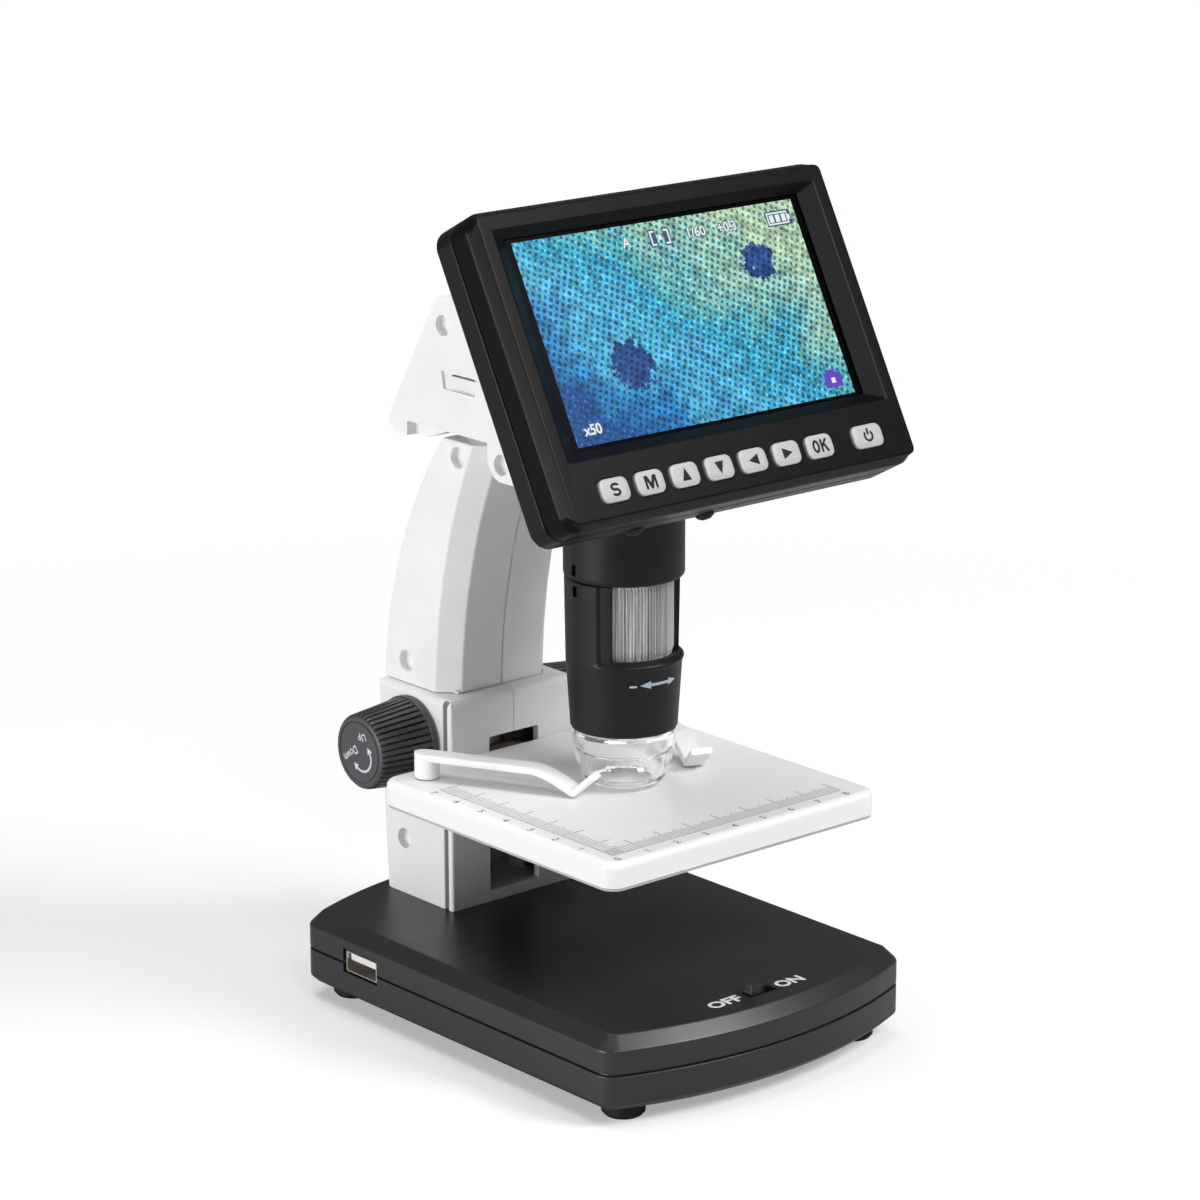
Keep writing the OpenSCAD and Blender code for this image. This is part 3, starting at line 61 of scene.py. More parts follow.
# ---------------------------------------------------------------- floor and light
# A white sweep, which takes the object's soft shadow and fades to the backdrop's white for the camera. Four
# softboxes light it: a key and a fill from the front, one low at the left and one overhead.
def add(tree, kind, inputs=None, **settings):
    """Adds a shader node of that kind. Each input is a plain value or the socket that feeds it."""
    made = tree.nodes.new("ShaderNode" + kind)
    for key, value in settings.items():
        setattr(made, key, value)
    for key, value in (inputs or {}).items():
        if isinstance(value, bpy.types.NodeSocket):
            tree.links.new(value, made.inputs[key])
        else:
            made.inputs[key].default_value = value
    return made


def out(tree, kind, inputs=None, **settings):
    """The first output of a node made by add."""
    return add(tree, kind, inputs, **settings).outputs[0]


def calc(tree, operation, *values):
    """Output of a math node over those values or sockets."""
    return out(tree, "Math", dict(enumerate(values)), operation=operation)


def mapped(tree, value, low, high, to_low=0.0, to_high=1.0, **settings):
    """The value mapped from low..high to to_low..to_high, and held at the ends."""
    return out(tree, "MapRange", {"Value": value, "From Min": low, "From Max": high,
                                  "To Min": to_low, "To Max": to_high}, **settings)


def object_place(tree):
    """Object coordinates."""
    return add(tree, "TexCoord").outputs["Object"]


def seen_as(tree, seen, bounced):
    """The shader seen for rays from the camera or through clear plastic, and bounced for all other rays."""
    path = add(tree, "LightPath").outputs
    direct = calc(tree, "MAXIMUM", path["Is Camera Ray"], path["Is Transmission Ray"])
    return out(tree, "MixShader", {"Fac": direct, 1: bounced, 2: seen})


floor_mesh = bpy.data.meshes.new("floor")
floor_mesh.from_pydata([(-3, -3, 0), (3, -3, 0), (3, 3, 0), (-3, 3, 0)], [], [(0, 1, 2, 3)])
floor = bpy.data.objects.new("floor", floor_mesh)
bpy.context.scene.collection.objects.link(floor)
floor_paint = bpy.data.materials.new("floor_paint")
floor_paint.use_nodes = True
floor_mesh.materials.append(floor_paint)
tree = floor_paint.node_tree
tree.nodes.clear()
PURE = (1, 1, 1, 1)
shown = out(tree, "BsdfDiffuse", {"Color": (0.62, 0.62, 0.62, 1)})
glow = out(tree, "Emission", {"Color": PURE, "Strength": 0.36})
lit = out(tree, "AddShader", {0: shown, 1: glow})
away = add(tree, "VectorMath", {0: object_place(tree)}, operation="LENGTH").outputs["Value"]
fade = mapped(tree, away, 0.22, 0.55, interpolation_type="SMOOTHSTEP")
blank = out(tree, "Emission", {"Color": PURE, "Strength": 1.0})
faded = out(tree, "MixShader", {"Fac": fade, 1: lit, 2: blank})
bounced = out(tree, "BsdfDiffuse", {"Color": (0.55, 0.55, 0.55, 1)})
add(tree, "OutputMaterial", {"Surface": seen_as(tree, faded, bounced)})

world = bpy.data.worlds.new("studio")
bpy.context.scene.world = world
world.use_nodes = True
tree = world.node_tree
tree.nodes.clear()
room = out(tree, "Background", {"Color": PURE, "Strength": 0.15})
backdrop = out(tree, "Background", {"Color": PURE, "Strength": 1.0})
add(tree, "OutputWorld", {"Surface": seen_as(tree, backdrop, room)})


def softbox(name, place, aim, width, height, watts):
    """Area lamp of that width and height at place, turned so that it faces aim."""
    lamp = bpy.data.objects.new(name, bpy.data.lights.new(name, "AREA"))
    bpy.context.scene.collection.objects.link(lamp)
    lamp.data.shape = "RECTANGLE"
    lamp.data.size, lamp.data.size_y = width, height
    lamp.data.energy = watts
    lamp.location = place
    lamp.rotation_euler = (Vector(aim) - Vector(place)).to_track_quat("-Z", "Y").to_euler()


softbox("key_lamp", (0.55, -1.05, 1.15), (0, 0, 0.08), 0.6, 0.6, 19)
softbox("front_lamp", (-0.40, -1.10, 1.10), (0, 0, 0.08), 0.5, 0.5, 5)
softbox("left_lamp", (-1.60, 0.30, 0.16), (0, 0, 0.12), 1.1, 0.5, 23)
softbox("top_lamp", (-0.10, 0.25, 1.5), (0, 0, 0.1), 0.9, 0.9, 10)
bpy.context.scene.view_settings.view_transform = "Standard"


# ---------------------------------------------------------------- base, lower shell
# A moulded black tray. It stands on four feet and stops at the black line round the base, where a lip rises
# inside the upper shell. The charging port's mouth is cut from the top of its left wall.
def outline(corners, radius, reach_to_bow, left_marks=(), arc_steps=10):
    """Closed outline with rounded corners, as three arrays: centre, reach and outward normal of each point.
    The outline moved in by d is centre + (reach - d) * normal. Every corner is an arc about its centre, and
    arcs about (0, -c) and (0, c) bow the rear and front out. left_marks are y values with a point each."""
    cx, cy = corners
    centre, reach, angle = [], [], []
    rise = math.sqrt((reach_to_bow - radius) ** 2 - cx ** 2)
    edge = math.atan2(rise, cx)
    for turn, sx, sy in ((0, 1, 1), (math.pi - edge, -1, 1), (math.pi, -1, -1), (2 * math.pi - edge, 1, -1)):
        angle.append(turn + np.linspace(0, edge, arc_steps))
        centre.append(np.broadcast_to([sx * cx, sy * cy], (arc_steps, 2)))
        reach.append(np.full(arc_steps, radius))
        if sx == sy:
            bow = np.linspace(edge, math.pi - edge, 40)[1:-1] + (0 if sy > 0 else math.pi)
            angle.append(bow)
            centre.append(np.broadcast_to([0, -sy * (rise - cy)], (len(bow), 2)))
            reach.append(np.full(len(bow), reach_to_bow))
        else:
            marks = left_marks if sx < 0 else ()
            y = np.sort(np.append(np.linspace(-cy, cy, 12)[1:-1], marks))[::sy * -1]
            angle.append(np.full(len(y), 0.0 if sx > 0 else math.pi))
            centre.append(np.stack([np.full(len(y), sx * cx), y], -1))
            reach.append(np.full(len(y), radius))
    angle = np.concatenate(angle)
    return np.concatenate(centre), np.concatenate(reach), np.stack([np.cos(angle), np.sin(angle)], -1)


def sweep(shape, profile):
    """Grid of points: the outline moved in by each profile row's inset, at that row's height."""
    centre, reach, normal = shape
    inset, z = np.asarray(profile, float).T
    flat = centre[None] + (reach[None] - inset[:, None])[..., None] * normal[None]
    high = np.broadcast_to(z[:, None, None], flat.shape[:2] + (1,))
    return np.concatenate([flat, high], -1)


def rounded(corners, radius, steps=5):
    """Profile through corner points, with each inner corner turned into an arc of about that radius: a point
    at t on it is (1-t)^2 a + 2t(1-t) corner + t^2 b, where a and b lie on the two sides."""
    p = np.asarray(corners, float)
    rows = [p[:1]]
    t = np.linspace(0, 1, steps)[:, None]
    for before, here, after in zip(p[:-2], p[1:-1], p[2:]):
        u, v = before - here, after - here
        a = here + u * min(radius / np.linalg.norm(u), 0.45)
        b = here + v * min(radius / np.linalg.norm(v), 0.45)
        rows.append((1 - t) ** 2 * a + 2 * t * (1 - t) * here + t ** 2 * b)
    rows.append(p[-1:])
    return np.concatenate(rows)


def crossing(profile, z):
    """The profile with a row put in wherever it crosses height z, and the numbers of those rows."""
    before, after = profile[:-1], profile[1:]
    hit = np.flatnonzero((before[:, 1] - z) * (after[:, 1] - z) < 0)
    t = ((z - before[hit, 1]) / (after[hit, 1] - before[hit, 1]))[:, None]
    rows = np.insert(profile, hit + 1, before[hit] + t * (after[hit] - before[hit]), 0)
    return rows, hit + 1 + np.arange(len(hit))


def skin(grid, loop=False, cut=None, mouth=None):
    """Faces over a grid whose columns close into a ring and run anticlockwise while its rows run up the
    outside. The rows close too if loop is set; otherwise a flat face closes the first and the last. cut =
    (first row, last row, first column, last column) leaves that part out and walls its two sides and its
    bottom; mouth leaves out the flat faces."""
    rows, columns = grid.shape[:2]
    r = np.arange(rows if loop else rows - 1)[:, None]
    c = np.arange(columns)
    low, high, right = r * columns, (r + 1) % rows * columns, (c + 1) % columns
    quads = np.stack([low + c, low + right, high + right, high + c], -1)
    keep = np.ones(quads.shape[:2], bool)
    faces = []
    if cut:
        a, b, c, d = cut
        keep[a:b, c:d] = False
        near, far = a * columns + np.arange(c, d), b * columns + np.arange(c, d)
        faces += np.stack([near, near + 1, far + 1, far], -1).tolist()
        faces.append((np.arange(b, a - 1, -1) * columns + c).tolist())
        faces.append((np.arange(a, b + 1) * columns + d).tolist())
    if not loop and not mouth:
        faces += [list(range(columns))[::-1], list(range((rows - 1) * columns, rows * columns))]
    return quads[keep].tolist() + faces


def piece(name, points, faces, body, slot, material, sharp=50):
    """New mesh piece from points in millimetres, shaded smooth except over edges sharper than that angle."""
    mesh = bpy.data.meshes.new(name)
    mesh.from_pydata((np.asarray(points, float).reshape(-1, 3) * MM).tolist(), [], faces)
    mesh.polygons.foreach_set("use_smooth", np.ones(len(mesh.polygons), bool))
    mesh.set_sharp_from_angle(angle=math.radians(sharp))
    mesh.materials.append(material)
    made = bpy.data.objects.new(name, mesh)
    bpy.context.scene.collection.objects.link(made)
    made.modifiers.new("weigh", "WEIGHTED_NORMAL").keep_sharp = True
    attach(made, body)
    return made


def group(name, inputs, outputs):
    """New node group with those sockets. Returns its tree, what comes in and what goes out."""
    tree = bpy.data.node_groups.new(name, "ShaderNodeTree")
    for side, sockets in (("INPUT", inputs), ("OUTPUT", outputs)):
        for key, kind in sockets.items():
            tree.interface.new_socket(key, in_out=side, socket_type="NodeSocket" + kind)
    return tree, tree.nodes.new("NodeGroupInput").outputs, tree.nodes.new("NodeGroupOutput").inputs


def noise(tree, place, scale, detail=2.0, roughness=0.5):
    """Noise texture over those coordinates, as a factor."""
    return out(tree, "TexNoise", {"Vector": place, "Scale": scale, "Detail": detail, "Roughness": roughness})


def scaled(tree, vector, factor):
    """The vector or colour times the factor."""
    return out(tree, "VectorMath", {0: vector, "Scale": factor}, operation="SCALE")


def blotchy(name, stretch):
    """Node group for a plain surface. Object coordinates, stretched so, drive a fine grain, put out as
    Height, and a slow blotchiness, put out as Gloss around the Roughness and as Colour around the Paint."""
    sockets = {"Grain": "Float", "Roughness": "Float", "Spread": "Float", "Paint": "Color"}
    tree, come, go = group(name, sockets, {"Height": "Float", "Gloss": "Float", "Colour": "Color"})
    stretched = out(tree, "Mapping", {"Vector": object_place(tree), "Scale": stretch})
    around = calc(tree, "SUBTRACT", noise(tree, stretched, 55.0, 4.0), 0.5)
    gloss = calc(tree, "MULTIPLY_ADD", around, come["Spread"], come["Roughness"])
    shade = calc(tree, "MULTIPLY_ADD", around, 0.16, 1.0)
    tree.links.new(noise(tree, stretched, come["Grain"]), go["Height"])
    tree.links.new(gloss, go["Gloss"])
    tree.links.new(scaled(tree, come["Paint"], shade), go["Colour"])
    return tree


def blank_material(name, **constants):
    """New material, its tree and the inputs of its Principled shader. Constants are set on those inputs, with
    _ for a space in their names."""
    material = bpy.data.materials.new(name)
    material.use_nodes = True
    surface = material.node_tree.nodes["Principled BSDF"].inputs
    for key, value in constants.items():
        surface[key.replace("_", " ")].default_value = value
    return material, material.node_tree, surface


def shader(name, effect, colour, roughness, grain, depth, spread=0.12, metallic=0.0, coat=0.0, specular=0.5):
    """New material: the effect group bumps a Principled shader by depth millimetres and varies its colour and
    gloss. grain is the scale of the fine grain."""
    material, tree, surface = blank_material(name, Metallic=metallic, Coat_Weight=coat,
                                             Specular_IOR_Level=specular)
    values = {"Grain": grain, "Roughness": roughness, "Spread": spread, "Paint": (*colour, 1)}
    look = add(tree, "Group", values, node_tree=effect).outputs
    bump = out(tree, "Bump", {"Strength": 0.35, "Distance": depth * MM, "Height": look["Height"]})
    tree.links.new(look["Colour"], surface["Base Color"])
    tree.links.new(look["Gloss"], surface["Roughness"])
    tree.links.new(bump, surface["Normal"])
    return material


MOULDED = blotchy("moulded", (1, 1, 1))
BLACK = shader("black_plastic", MOULDED, (0.018, 0.018, 0.0185), 0.36, 3200, 0.02)
BASE_HALF_W, BASE_CORNER, BASE_BOW = 52.3, 6, 130
BASE_WALL = 2.2
BASE_PART_Z, BASE_TOP_Z = 14.6, 24.7
SEAM = 0.35
PORT_Y, PORT_Z = (31.4, 46.3), (11.9, 18.8)
BASE_SHAPE = outline((BASE_HALF_W - BASE_CORNER, 59.20), BASE_CORNER, BASE_BOW, left_marks=PORT_Y)


def nearest_column(x, y):
    """Number of the base outline's point that is nearest to (x, y)."""
    centre, reach, normal = BASE_SHAPE
    return int(np.argmin(np.hypot(*(centre + reach[:, None] * normal - (x, y)).T)))


port_columns = [nearest_column(-BASE_HALF_W, y) for y in PORT_Y[::-1]]
lower_rows = rounded([(6, 4.7), (1.9, 4.7), (0, 6.5), (0, BASE_PART_Z - SEAM), (0.9, BASE_PART_Z - SEAM),
                      (0.9, 15.3), (BASE_WALL, 15.3), (BASE_WALL, 6.9), (6, 6.9)], 0.35)
lower_rows, mouth_rows = crossing(lower_rows, PORT_Z[0])
grid = sweep(BASE_SHAPE, lower_rows)
faces = skin(grid, cut=(*mouth_rows, *port_columns))
base_lower = piece("base_lower_shell", grid, faces, "stand", "black_plastic", BLACK)
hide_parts("base_bottom_shell")


# ---------------------------------------------------------------- base, upper shell
# The moulded black lid of the base, with a broad bevel round its flat top. A slot for the switch goes through
# the top, and the charging port's mouth is cut from the lower edge of the left wall.
def pierced(grid, holes, cut=None):
    """Points and faces of a shell over the grid, with holes through the flat faces on its first and last
    rows. Each hole is a grid of its own, whose rows run from the last row's plane down to the first's."""
    points = np.concatenate([g.reshape(-1, 3) for g in (grid, *holes)])
    faces = skin(grid, cut=cut, mouth=True)
    start, columns = grid.shape[0] * grid.shape[1], grid.shape[1]
    lows, tops = [np.arange(columns)], [np.arange(start - columns, start)]
    for hole in holes:
        faces += [[i + start for i in face] for face in skin(hole, mouth=True)]
        tops.append(start + np.arange(hole.shape[1]))
        start += hole.shape[0] * hole.shape[1]
        lows.append(start - hole.shape[1] + np.arange(hole.shape[1]))
    for rims, up in ((lows, False), (tops, True)):
        at = np.concatenate(rims)
        tris = np.array(tessellate_polygon([[Vector((*p, 0)) for p in points[rim, :2]] for rim in rims]))
        p = points[at[tris], :2]
        turn = np.cross(p[:, 1] - p[:, 0], p[:, 2] - p[:, 0])
        faces += at[np.where((turn > 0)[:, None] == up, tris, tris[:, ::-1])][turn != 0].tolist()
    return points, faces


SWITCH_Y = -63
SLOT_X, SLOT_HALF_Y = (-4.2, 5.2), 2.1
INNER_TOP_Z = 22.5
upper_low = BASE_PART_Z + SEAM
upper_rows = np.concatenate([
    rounded([(8, INNER_TOP_Z), (5.8, INNER_TOP_Z), (BASE_WALL, 19.1), (BASE_WALL, 15.6), (0.7, 15.6),
             (0.7, upper_low), (0, upper_low)], 0.15, 3)[:-1],
    rounded([(0.1, upper_low), (0, upper_low + 0.1), (0, 21.1), (3.6, BASE_TOP_Z), (6, BASE_TOP_Z)], 0.5),
])
upper_rows, mouth_rows = crossing(upper_rows, PORT_Z[1])
slot_x, slot_y = np.take(SLOT_X, [0, 1, 1, 0]), SWITCH_Y + SLOT_HALF_Y * np.array([-1, -1, 1, 1])
slot = np.stack([np.stack([slot_x, slot_y, np.full(4, z)], -1) for z in (BASE_TOP_Z, INNER_TOP_Z)])
shell = pierced(sweep(BASE_SHAPE, upper_rows), [slot], (*mouth_rows, *port_columns))
base_upper = piece("base_upper_shell", *shell, "stand", "black_plastic", BLACK)
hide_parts("base_top_shell")


# ---------------------------------------------------------------- switch words
# ON and OFF, one word on each side of the switch. They are screen printed in white paint on the base's flat
# top.
def letters(text, height, width=None, weight=0.0):
    """Filled letters centred on (0, 0), as points in millimetres and faces. weight fattens the strokes."""
    curve = bpy.data.curves.new("letters", "FONT")
    curve.body = text
    curve.offset = weight
    curve.resolution_u = 4
    typed = bpy.data.objects.new("letters", curve)
    bpy.context.scene.collection.objects.link(typed)
    bpy.context.view_layer.update()
    mesh = bpy.data.meshes.new_from_object(typed.evaluated_get(bpy.context.evaluated_depsgraph_get()))
    p = np.empty(len(mesh.vertices) * 3)
    mesh.vertices.foreach_get("co", p)
    p = p.reshape(-1, 3)[:, :2]
    faces = [list(f.vertices) for f in mesh.polygons]
    bpy.data.objects.remove(typed)
    bpy.data.meshes.remove(mesh)
    low, high = p.min(0), p.max(0)
    scale = height / (high - low)[1]
    return (p - (low + high) / 2) * [width / (high - low)[0] if width else scale, scale], faces


def joined(*shapes):
    """One list of points and one of faces from several such pairs."""
    points = [np.asarray(p, float).reshape(-1, 2) for p, _ in shapes]
    starts = np.cumsum([0] + [len(p) for p in points])
    faces = [[i + start for i in face] for (_, faces), start in zip(shapes, starts) for face in faces]
    return np.concatenate(points), faces


def moved(shape, x, y, turn=0.0):
    """The flat shape turned by that many degrees and then moved by (x, y)."""
    c, s = math.cos(math.radians(turn)), math.sin(math.radians(turn))
    return np.asarray(shape[0]) @ [[c, s], [-s, c]] + [x, y], shape[1]


def printed(name, shape, place, body, slot, material):
    """Flat print: place maps its (u, v) points in millimetres to points on the surface."""
    return piece(name, place(np.asarray(shape[0], float)), shape[1], body, slot, material)


def on_level(z):
    """Places a print on a level face at height z."""
    return lambda p: np.c_[p, np.full(len(p), z + INK_LIFT)]


def ink(name, colour):
    """Screen-printed paint: the moulded grain thins it here and there."""
    return shader(name, MOULDED, colour, 0.5, 6000, 0.004, spread=0.2, specular=0.15)


INK_LIFT = 0.02
WHITE_INK = ink("white_ink", (0.75, 0.76, 0.78))
words = joined(moved(letters("OFF", 4.2, 10.7, 0.035), -11.65, SWITCH_Y),
               moved(letters("ON", 4.2, 9.1, 0.035), 11.15, SWITCH_Y))
printed("switch_words", words, on_level(BASE_TOP_Z), "stand", "white_plastic", WHITE_INK)


# ---------------------------------------------------------------- switch, port, feet and what is inside
# The switch's knob slides in its slot over a small black body. The port is a folded nickel-plated sleeve with
# a white tongue. Rubber feet are pressed into the tray. The board, the cell pack and the screws stay inside.
def dress(names, material, edge=None, clamp=True):
    """Gives CAD nodes their material. Their loose triangles are welded and flat regions joined. With an edge,
    every edge sharper than 30 degrees takes a small round of that width in millimetres."""
    for name in names.split():
        node = nodes[name]
        node.data.materials.clear()
        node.data.materials.append(material)
        node.data.polygons.foreach_set("use_smooth", np.ones(len(node.data.polygons), bool))
        node.modifiers.new("weld", "WELD").merge_threshold = 1e-6
        flat = node.modifiers.new("flat", "DECIMATE")
        flat.decimate_type = "DISSOLVE"
        flat.angle_limit = math.radians(0.6)
        if edge:
            soft = node.modifiers.new("soft", "BEVEL")
            soft.width = edge * MM
            soft.segments = 3
            soft.limit_method = "ANGLE"
            soft.angle_limit = math.radians(30)
            soft.harden_normals = True
            soft.use_clamp_overlap = clamp
        node.modifiers.new("weigh", "WEIGHTED_NORMAL").keep_sharp = True


BRUSHED = blotchy("brushed", (6, 1, 1))
NICKEL = shader("nickel", BRUSHED, (0.66, 0.63, 0.57), 0.26, 900, 0.01, metallic=1.0)
STEEL = shader("steel", BRUSHED, (0.42, 0.42, 0.43), 0.38, 1100, 0.02, metallic=1.0)
RUBBER = shader("foot_rubber", MOULDED, (0.008, 0.008, 0.008), 0.62, 2200, 0.05, specular=0.3)
BOARD = shader("board", MOULDED, (0.015, 0.12, 0.05), 0.4, 1500, 0.02, coat=0.3)
TONGUE = shader("tongue_plastic", MOULDED, (0.75, 0.75, 0.73), 0.35, 2600, 0.01)
CELL_WRAP = shader("cell_wrap", MOULDED, (0.02, 0.09, 0.28), 0.3, 700, 0.05, coat=0.4)
dress("power_switch_knob", BLACK, 0.3)
dress("switch_body", BLACK, 0.15)
dress("rubber_feet", RUBBER, 0.4)
dress("usb_socket", NICKEL, 0.12)
dress("usb_tongue", TONGUE, 0.15)
dress("base_board", BOARD)
dress("battery_pack", CELL_WRAP, 0.5)
dress("base_screws", STEEL)


# ---------------------------------------------------------------- column, arm and bracket
# White satin mouldings in left and right halves, screwed together from the side: the column on the base, the
# curved arm clamped in its top, and the bracket that holds the head. A groove runs down the column's side
# behind each front corner, and painted shade darkens it.
def white_moulding(name):
    """Satin white plastic."""
    return shader(name, MOULDED, WHITE_PAINT, 0.40, 2600, 0.012, spread=0.16)


def painted(material, effect, **paints):
    """Puts a colour group, fed with those paints, before the material's Base Color."""
    tree = material.node_tree
    colour = out(tree, "Group", {key: (*paint, 1) for key, paint in paints.items()}, node_tree=effect)
    tree.links.new(colour, tree.nodes["Principled BSDF"].inputs["Base Color"])


def grooved():
    """Node group: painted shade, Paint darkened by three quarters where |x| and y are both near a groove's
    middle.
    """
    tree, come, go = group("grooved", {"Paint": "Color"}, {"Colour": "Color"})
    place = add(tree, "SeparateXYZ", {0: object_place(tree)}).outputs
    off_x = calc(tree, "ABSOLUTE", calc(tree, "SUBTRACT", calc(tree, "ABSOLUTE", place["X"]), GROOVE_X * MM))
    off_y = calc(tree, "ABSOLUTE", calc(tree, "SUBTRACT", place["Y"], GROOVE_Y * MM))
    near_x = mapped(tree, off_x, 0.70 * MM, 0.45 * MM)
    near_y = mapped(tree, off_y, 1.2 * MM, MM)
    # painted shade: three quarters darker at the middle of each groove
    groove_shade_factor = calc(tree, "MULTIPLY_ADD", calc(tree, "MULTIPLY", near_x, near_y), -0.75, 1.0)
    tree.links.new(scaled(tree, come["Paint"], groove_shade_factor), go["Colour"])
    return tree


GROOVE_X, GROOVE_Y = 21.45, 38.55
WHITE_PAINT = (0.82, 0.82, 0.82)
WHITE = white_moulding("white_plastic")
COLUMN_WHITE = white_moulding("column_plastic")
# The column's white takes painted shade in its two side grooves.
painted(COLUMN_WHITE, grooved(), Paint=WHITE_PAINT)
PLUG = shader("lacquered_screw", BRUSHED, (0.62, 0.61, 0.59), 0.5, 1100, 0.02)
dress("column_left_shell column_right_shell", COLUMN_WHITE, 0.18)
dress("arm_left_shell arm_right_shell", WHITE, 0.5, clamp=False)
dress("bracket_left_shell bracket_right_shell", WHITE, 0.4)
dress("column_screws column_base_screws arm_screws bracket_screws", PLUG, 0.1)
dress("head_mount_screws head_screws stage_screws", PLUG, 0.1)


# ---------------------------------------------------------------- recess caps
# Small dished caps of the same white plastic, pressed into the screw recesses in the left-hand sides of the
# column, arm and bracket.
def turned(r, z, angle, x=0.0, y=0.0):
    """Grid of points at radius r and height z about the vertical line (x, y), at those angles in degrees. r
    and z are profiles, or whole grids of one row per height and one column per angle."""
    r, z = (np.asarray(v, float) if np.ndim(v) == 2 else np.asarray(v, float)[:, None] for v in (r, z))
    a = np.radians(np.asarray(angle, float))[None]
    return np.stack(np.broadcast_arrays(x + r * np.cos(a), y + r * np.sin(a), z), -1)


CAPS = (("column_left_shell", 57.1, 40.7), ("arm_left_shell", 59, 91), ("arm_left_shell", 35.6, 152.6),
        ("bracket_left_shell", 40.4, 187.9), ("bracket_left_shell", 16.4, 154.2))
cap = turned([2.75, 2.8, 2.8, 2.6, 2.2, 1.2, 0.3], [-4.0, -3.9, -2.1, -2.25, -2.6, -2.85, -2.9],
             np.arange(0, 360, 10))
for number, (shell, y, z) in enumerate(CAPS):
    side_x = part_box(shell)[0][0] / MM
    placed = np.stack([side_x - cap[..., 2], y + cap[..., 1], z + cap[..., 0]], -1)
    piece("recess_cap_%d" % number, placed, skin(cap), "stand", "white_plastic", WHITE, sharp=40)

# ---------------------------------------------------------------- rack drive
# Behind the column's slot the brown carriage runs on two rails. Its steel rack meshes with a brass pinion on
# the knobs' steel shaft, which turns in brass bushes.
BRASS = shader("brass", BRUSHED, (0.60, 0.45, 0.20), 0.3, 900, 0.02, metallic=1.0)
CARRIAGE = shader("carriage_plastic", MOULDED, (0.20, 0.125, 0.09), 0.5, 2600, 0.03)
dress("stage_carriage guide_rails", CARRIAGE, 0.2)
dress("stage_rack pinion_shaft", STEEL)
dress("shaft_bushes pinion_gear", BRASS)


# ---------------------------------------------------------------- knobs
# Black moulded focus knobs, pressed on the shaft: forty broad ribs taper from a plain rim at the root to the
# flat end, which has a turned groove and printed arrows with UP and DOWN.
def arrow(length, head, head_width, shaft_width, steps=30):
    """Double-headed arrow along u, centred on (0, 0): half its width is 0 at each tip and steps out at the
    heads."""
    half = length / 2
    tip = np.linspace(0, 1, 8)
    shaft = np.linspace(head - half, half - head, steps)
    u = np.concatenate([tip * head - half, shaft, half - head + tip * head])
    w = np.concatenate([tip * head_width, np.full(steps, shaft_width), (1 - tip) * head_width]) / 2 + 0.005
    n = np.arange(len(u) - 1)[:, None]
    points = np.stack([np.stack([u, -w], -1), np.stack([u, w], -1)], 1).reshape(-1, 2)
    return points, (n * 2 + [0, 2, 3, 1]).tolist()


def bent(shape, radius, x, y, turn):
    """The flat shape with its u axis bent round (x, y) at that radius, from its middle at that angle."""
    u, v = shape[0].T
    angle = math.radians(turn) + u / radius
    return np.stack([x + (radius - v) * np.cos(angle), y + (radius - v) * np.sin(angle)], -1), shape[1]


def on_knob(side):
    """Places a print on the end of the left (-1) or right (1) knob: u towards the viewer's right, v up."""
    return lambda p: np.stack([np.full(len(p), side * (KNOB_FACE_X + INK_LIFT)), SHAFT[0] + side * p[:, 0],
                               SHAFT[1] + p[:, 1]], -1)


SHAFT = (53.0, 70.5)
KNOB_ROOT_X, KNOB_FACE_X = 22.65, 40.5
RIBS = 40
KNOB = shader("knob_plastic", MOULDED, (0.056, 0.056, 0.060), 0.40, 2600, 0.03)
MARK_INK = ink("mark_ink", (0.56, 0.62, 0.70))
knob_len = KNOB_FACE_X - KNOB_ROOT_X
rib_phase = np.array([0, 0.12, 0.24, 0.31, 0.36, 0.40, 0.5, 0.60, 0.64, 0.69, 0.76, 0.88])
angle = ((np.arange(RIBS)[:, None] + rib_phase) * 360 / RIBS).ravel()
groove = np.clip((0.19 - np.abs(angle * RIBS / 360 % 1 - 0.5)) / 0.09, 0, 1)
rib_h = np.concatenate([[1.75], np.linspace(1.9, knob_len - 1.2, 14), [knob_len - 0.75, knob_len - 0.35]])
crest = np.interp(rib_h, [1.75, 1.9, knob_len - 1.2, knob_len - 0.75, knob_len - 0.35],
                  [12.0, 12.05, 10.5, 10.35, 10.0])
valley = np.interp(rib_h, [1.9, 3.5, knob_len - 3, knob_len - 0.35], [11.2, 10.55, 9.75, 9.85])
side_rows = crest[:, None] - np.clip(crest - valley, 0.02, 2)[:, None] * groove
plain = np.ones_like(angle)
root = np.array([(3.2, 0), (11.9, 0), (12.35, 0.15), (12.5, 0.5), (12.5, 1.35), (12.3, 1.65)])
end = np.array([(9.6, -0.08), (9.3, 0), (8.7, 0), (8.6, -0.25), (8.3, -0.3), (8.2, -0.02), (8.0, 0), (4, 0),
                (1, 0)]) + [0, knob_len]
knob_r = np.concatenate([root[:, :1] * plain, side_rows, end[:, :1] * plain])
grid = turned(knob_r, np.concatenate([root[:, 1], rib_h, end[:, 1]]), angle)
up, down = letters("Up", 2.7, 3.3, 0.015), letters("Down", 2.4, 6.6, 0.015)
marks = joined(bent(arrow(14.0, 1.8, 2.2, 0.6), 3.9, 1.3, -1.2, -47), moved(up, 1.3, 4.6, 205),
               moved(down, -3.7, -1.2, 217))
for side, name in ((-1, "knob_left"), (1, "knob_right")):
    x, y, z = np.moveaxis(grid, -1, 0)
    across, over = (y, x) if side < 0 else (x, y)
    placed = np.stack([side * (KNOB_ROOT_X + z), SHAFT[0] + across, SHAFT[1] + over], -1)
    made = piece(name + "_moulding", placed, skin(grid), "knobs", "black_plastic", KNOB, sharp=40)
    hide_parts(name)
    printed(name + "_marks", marks, on_knob(side), "knobs", "black_plastic", MARK_INK)
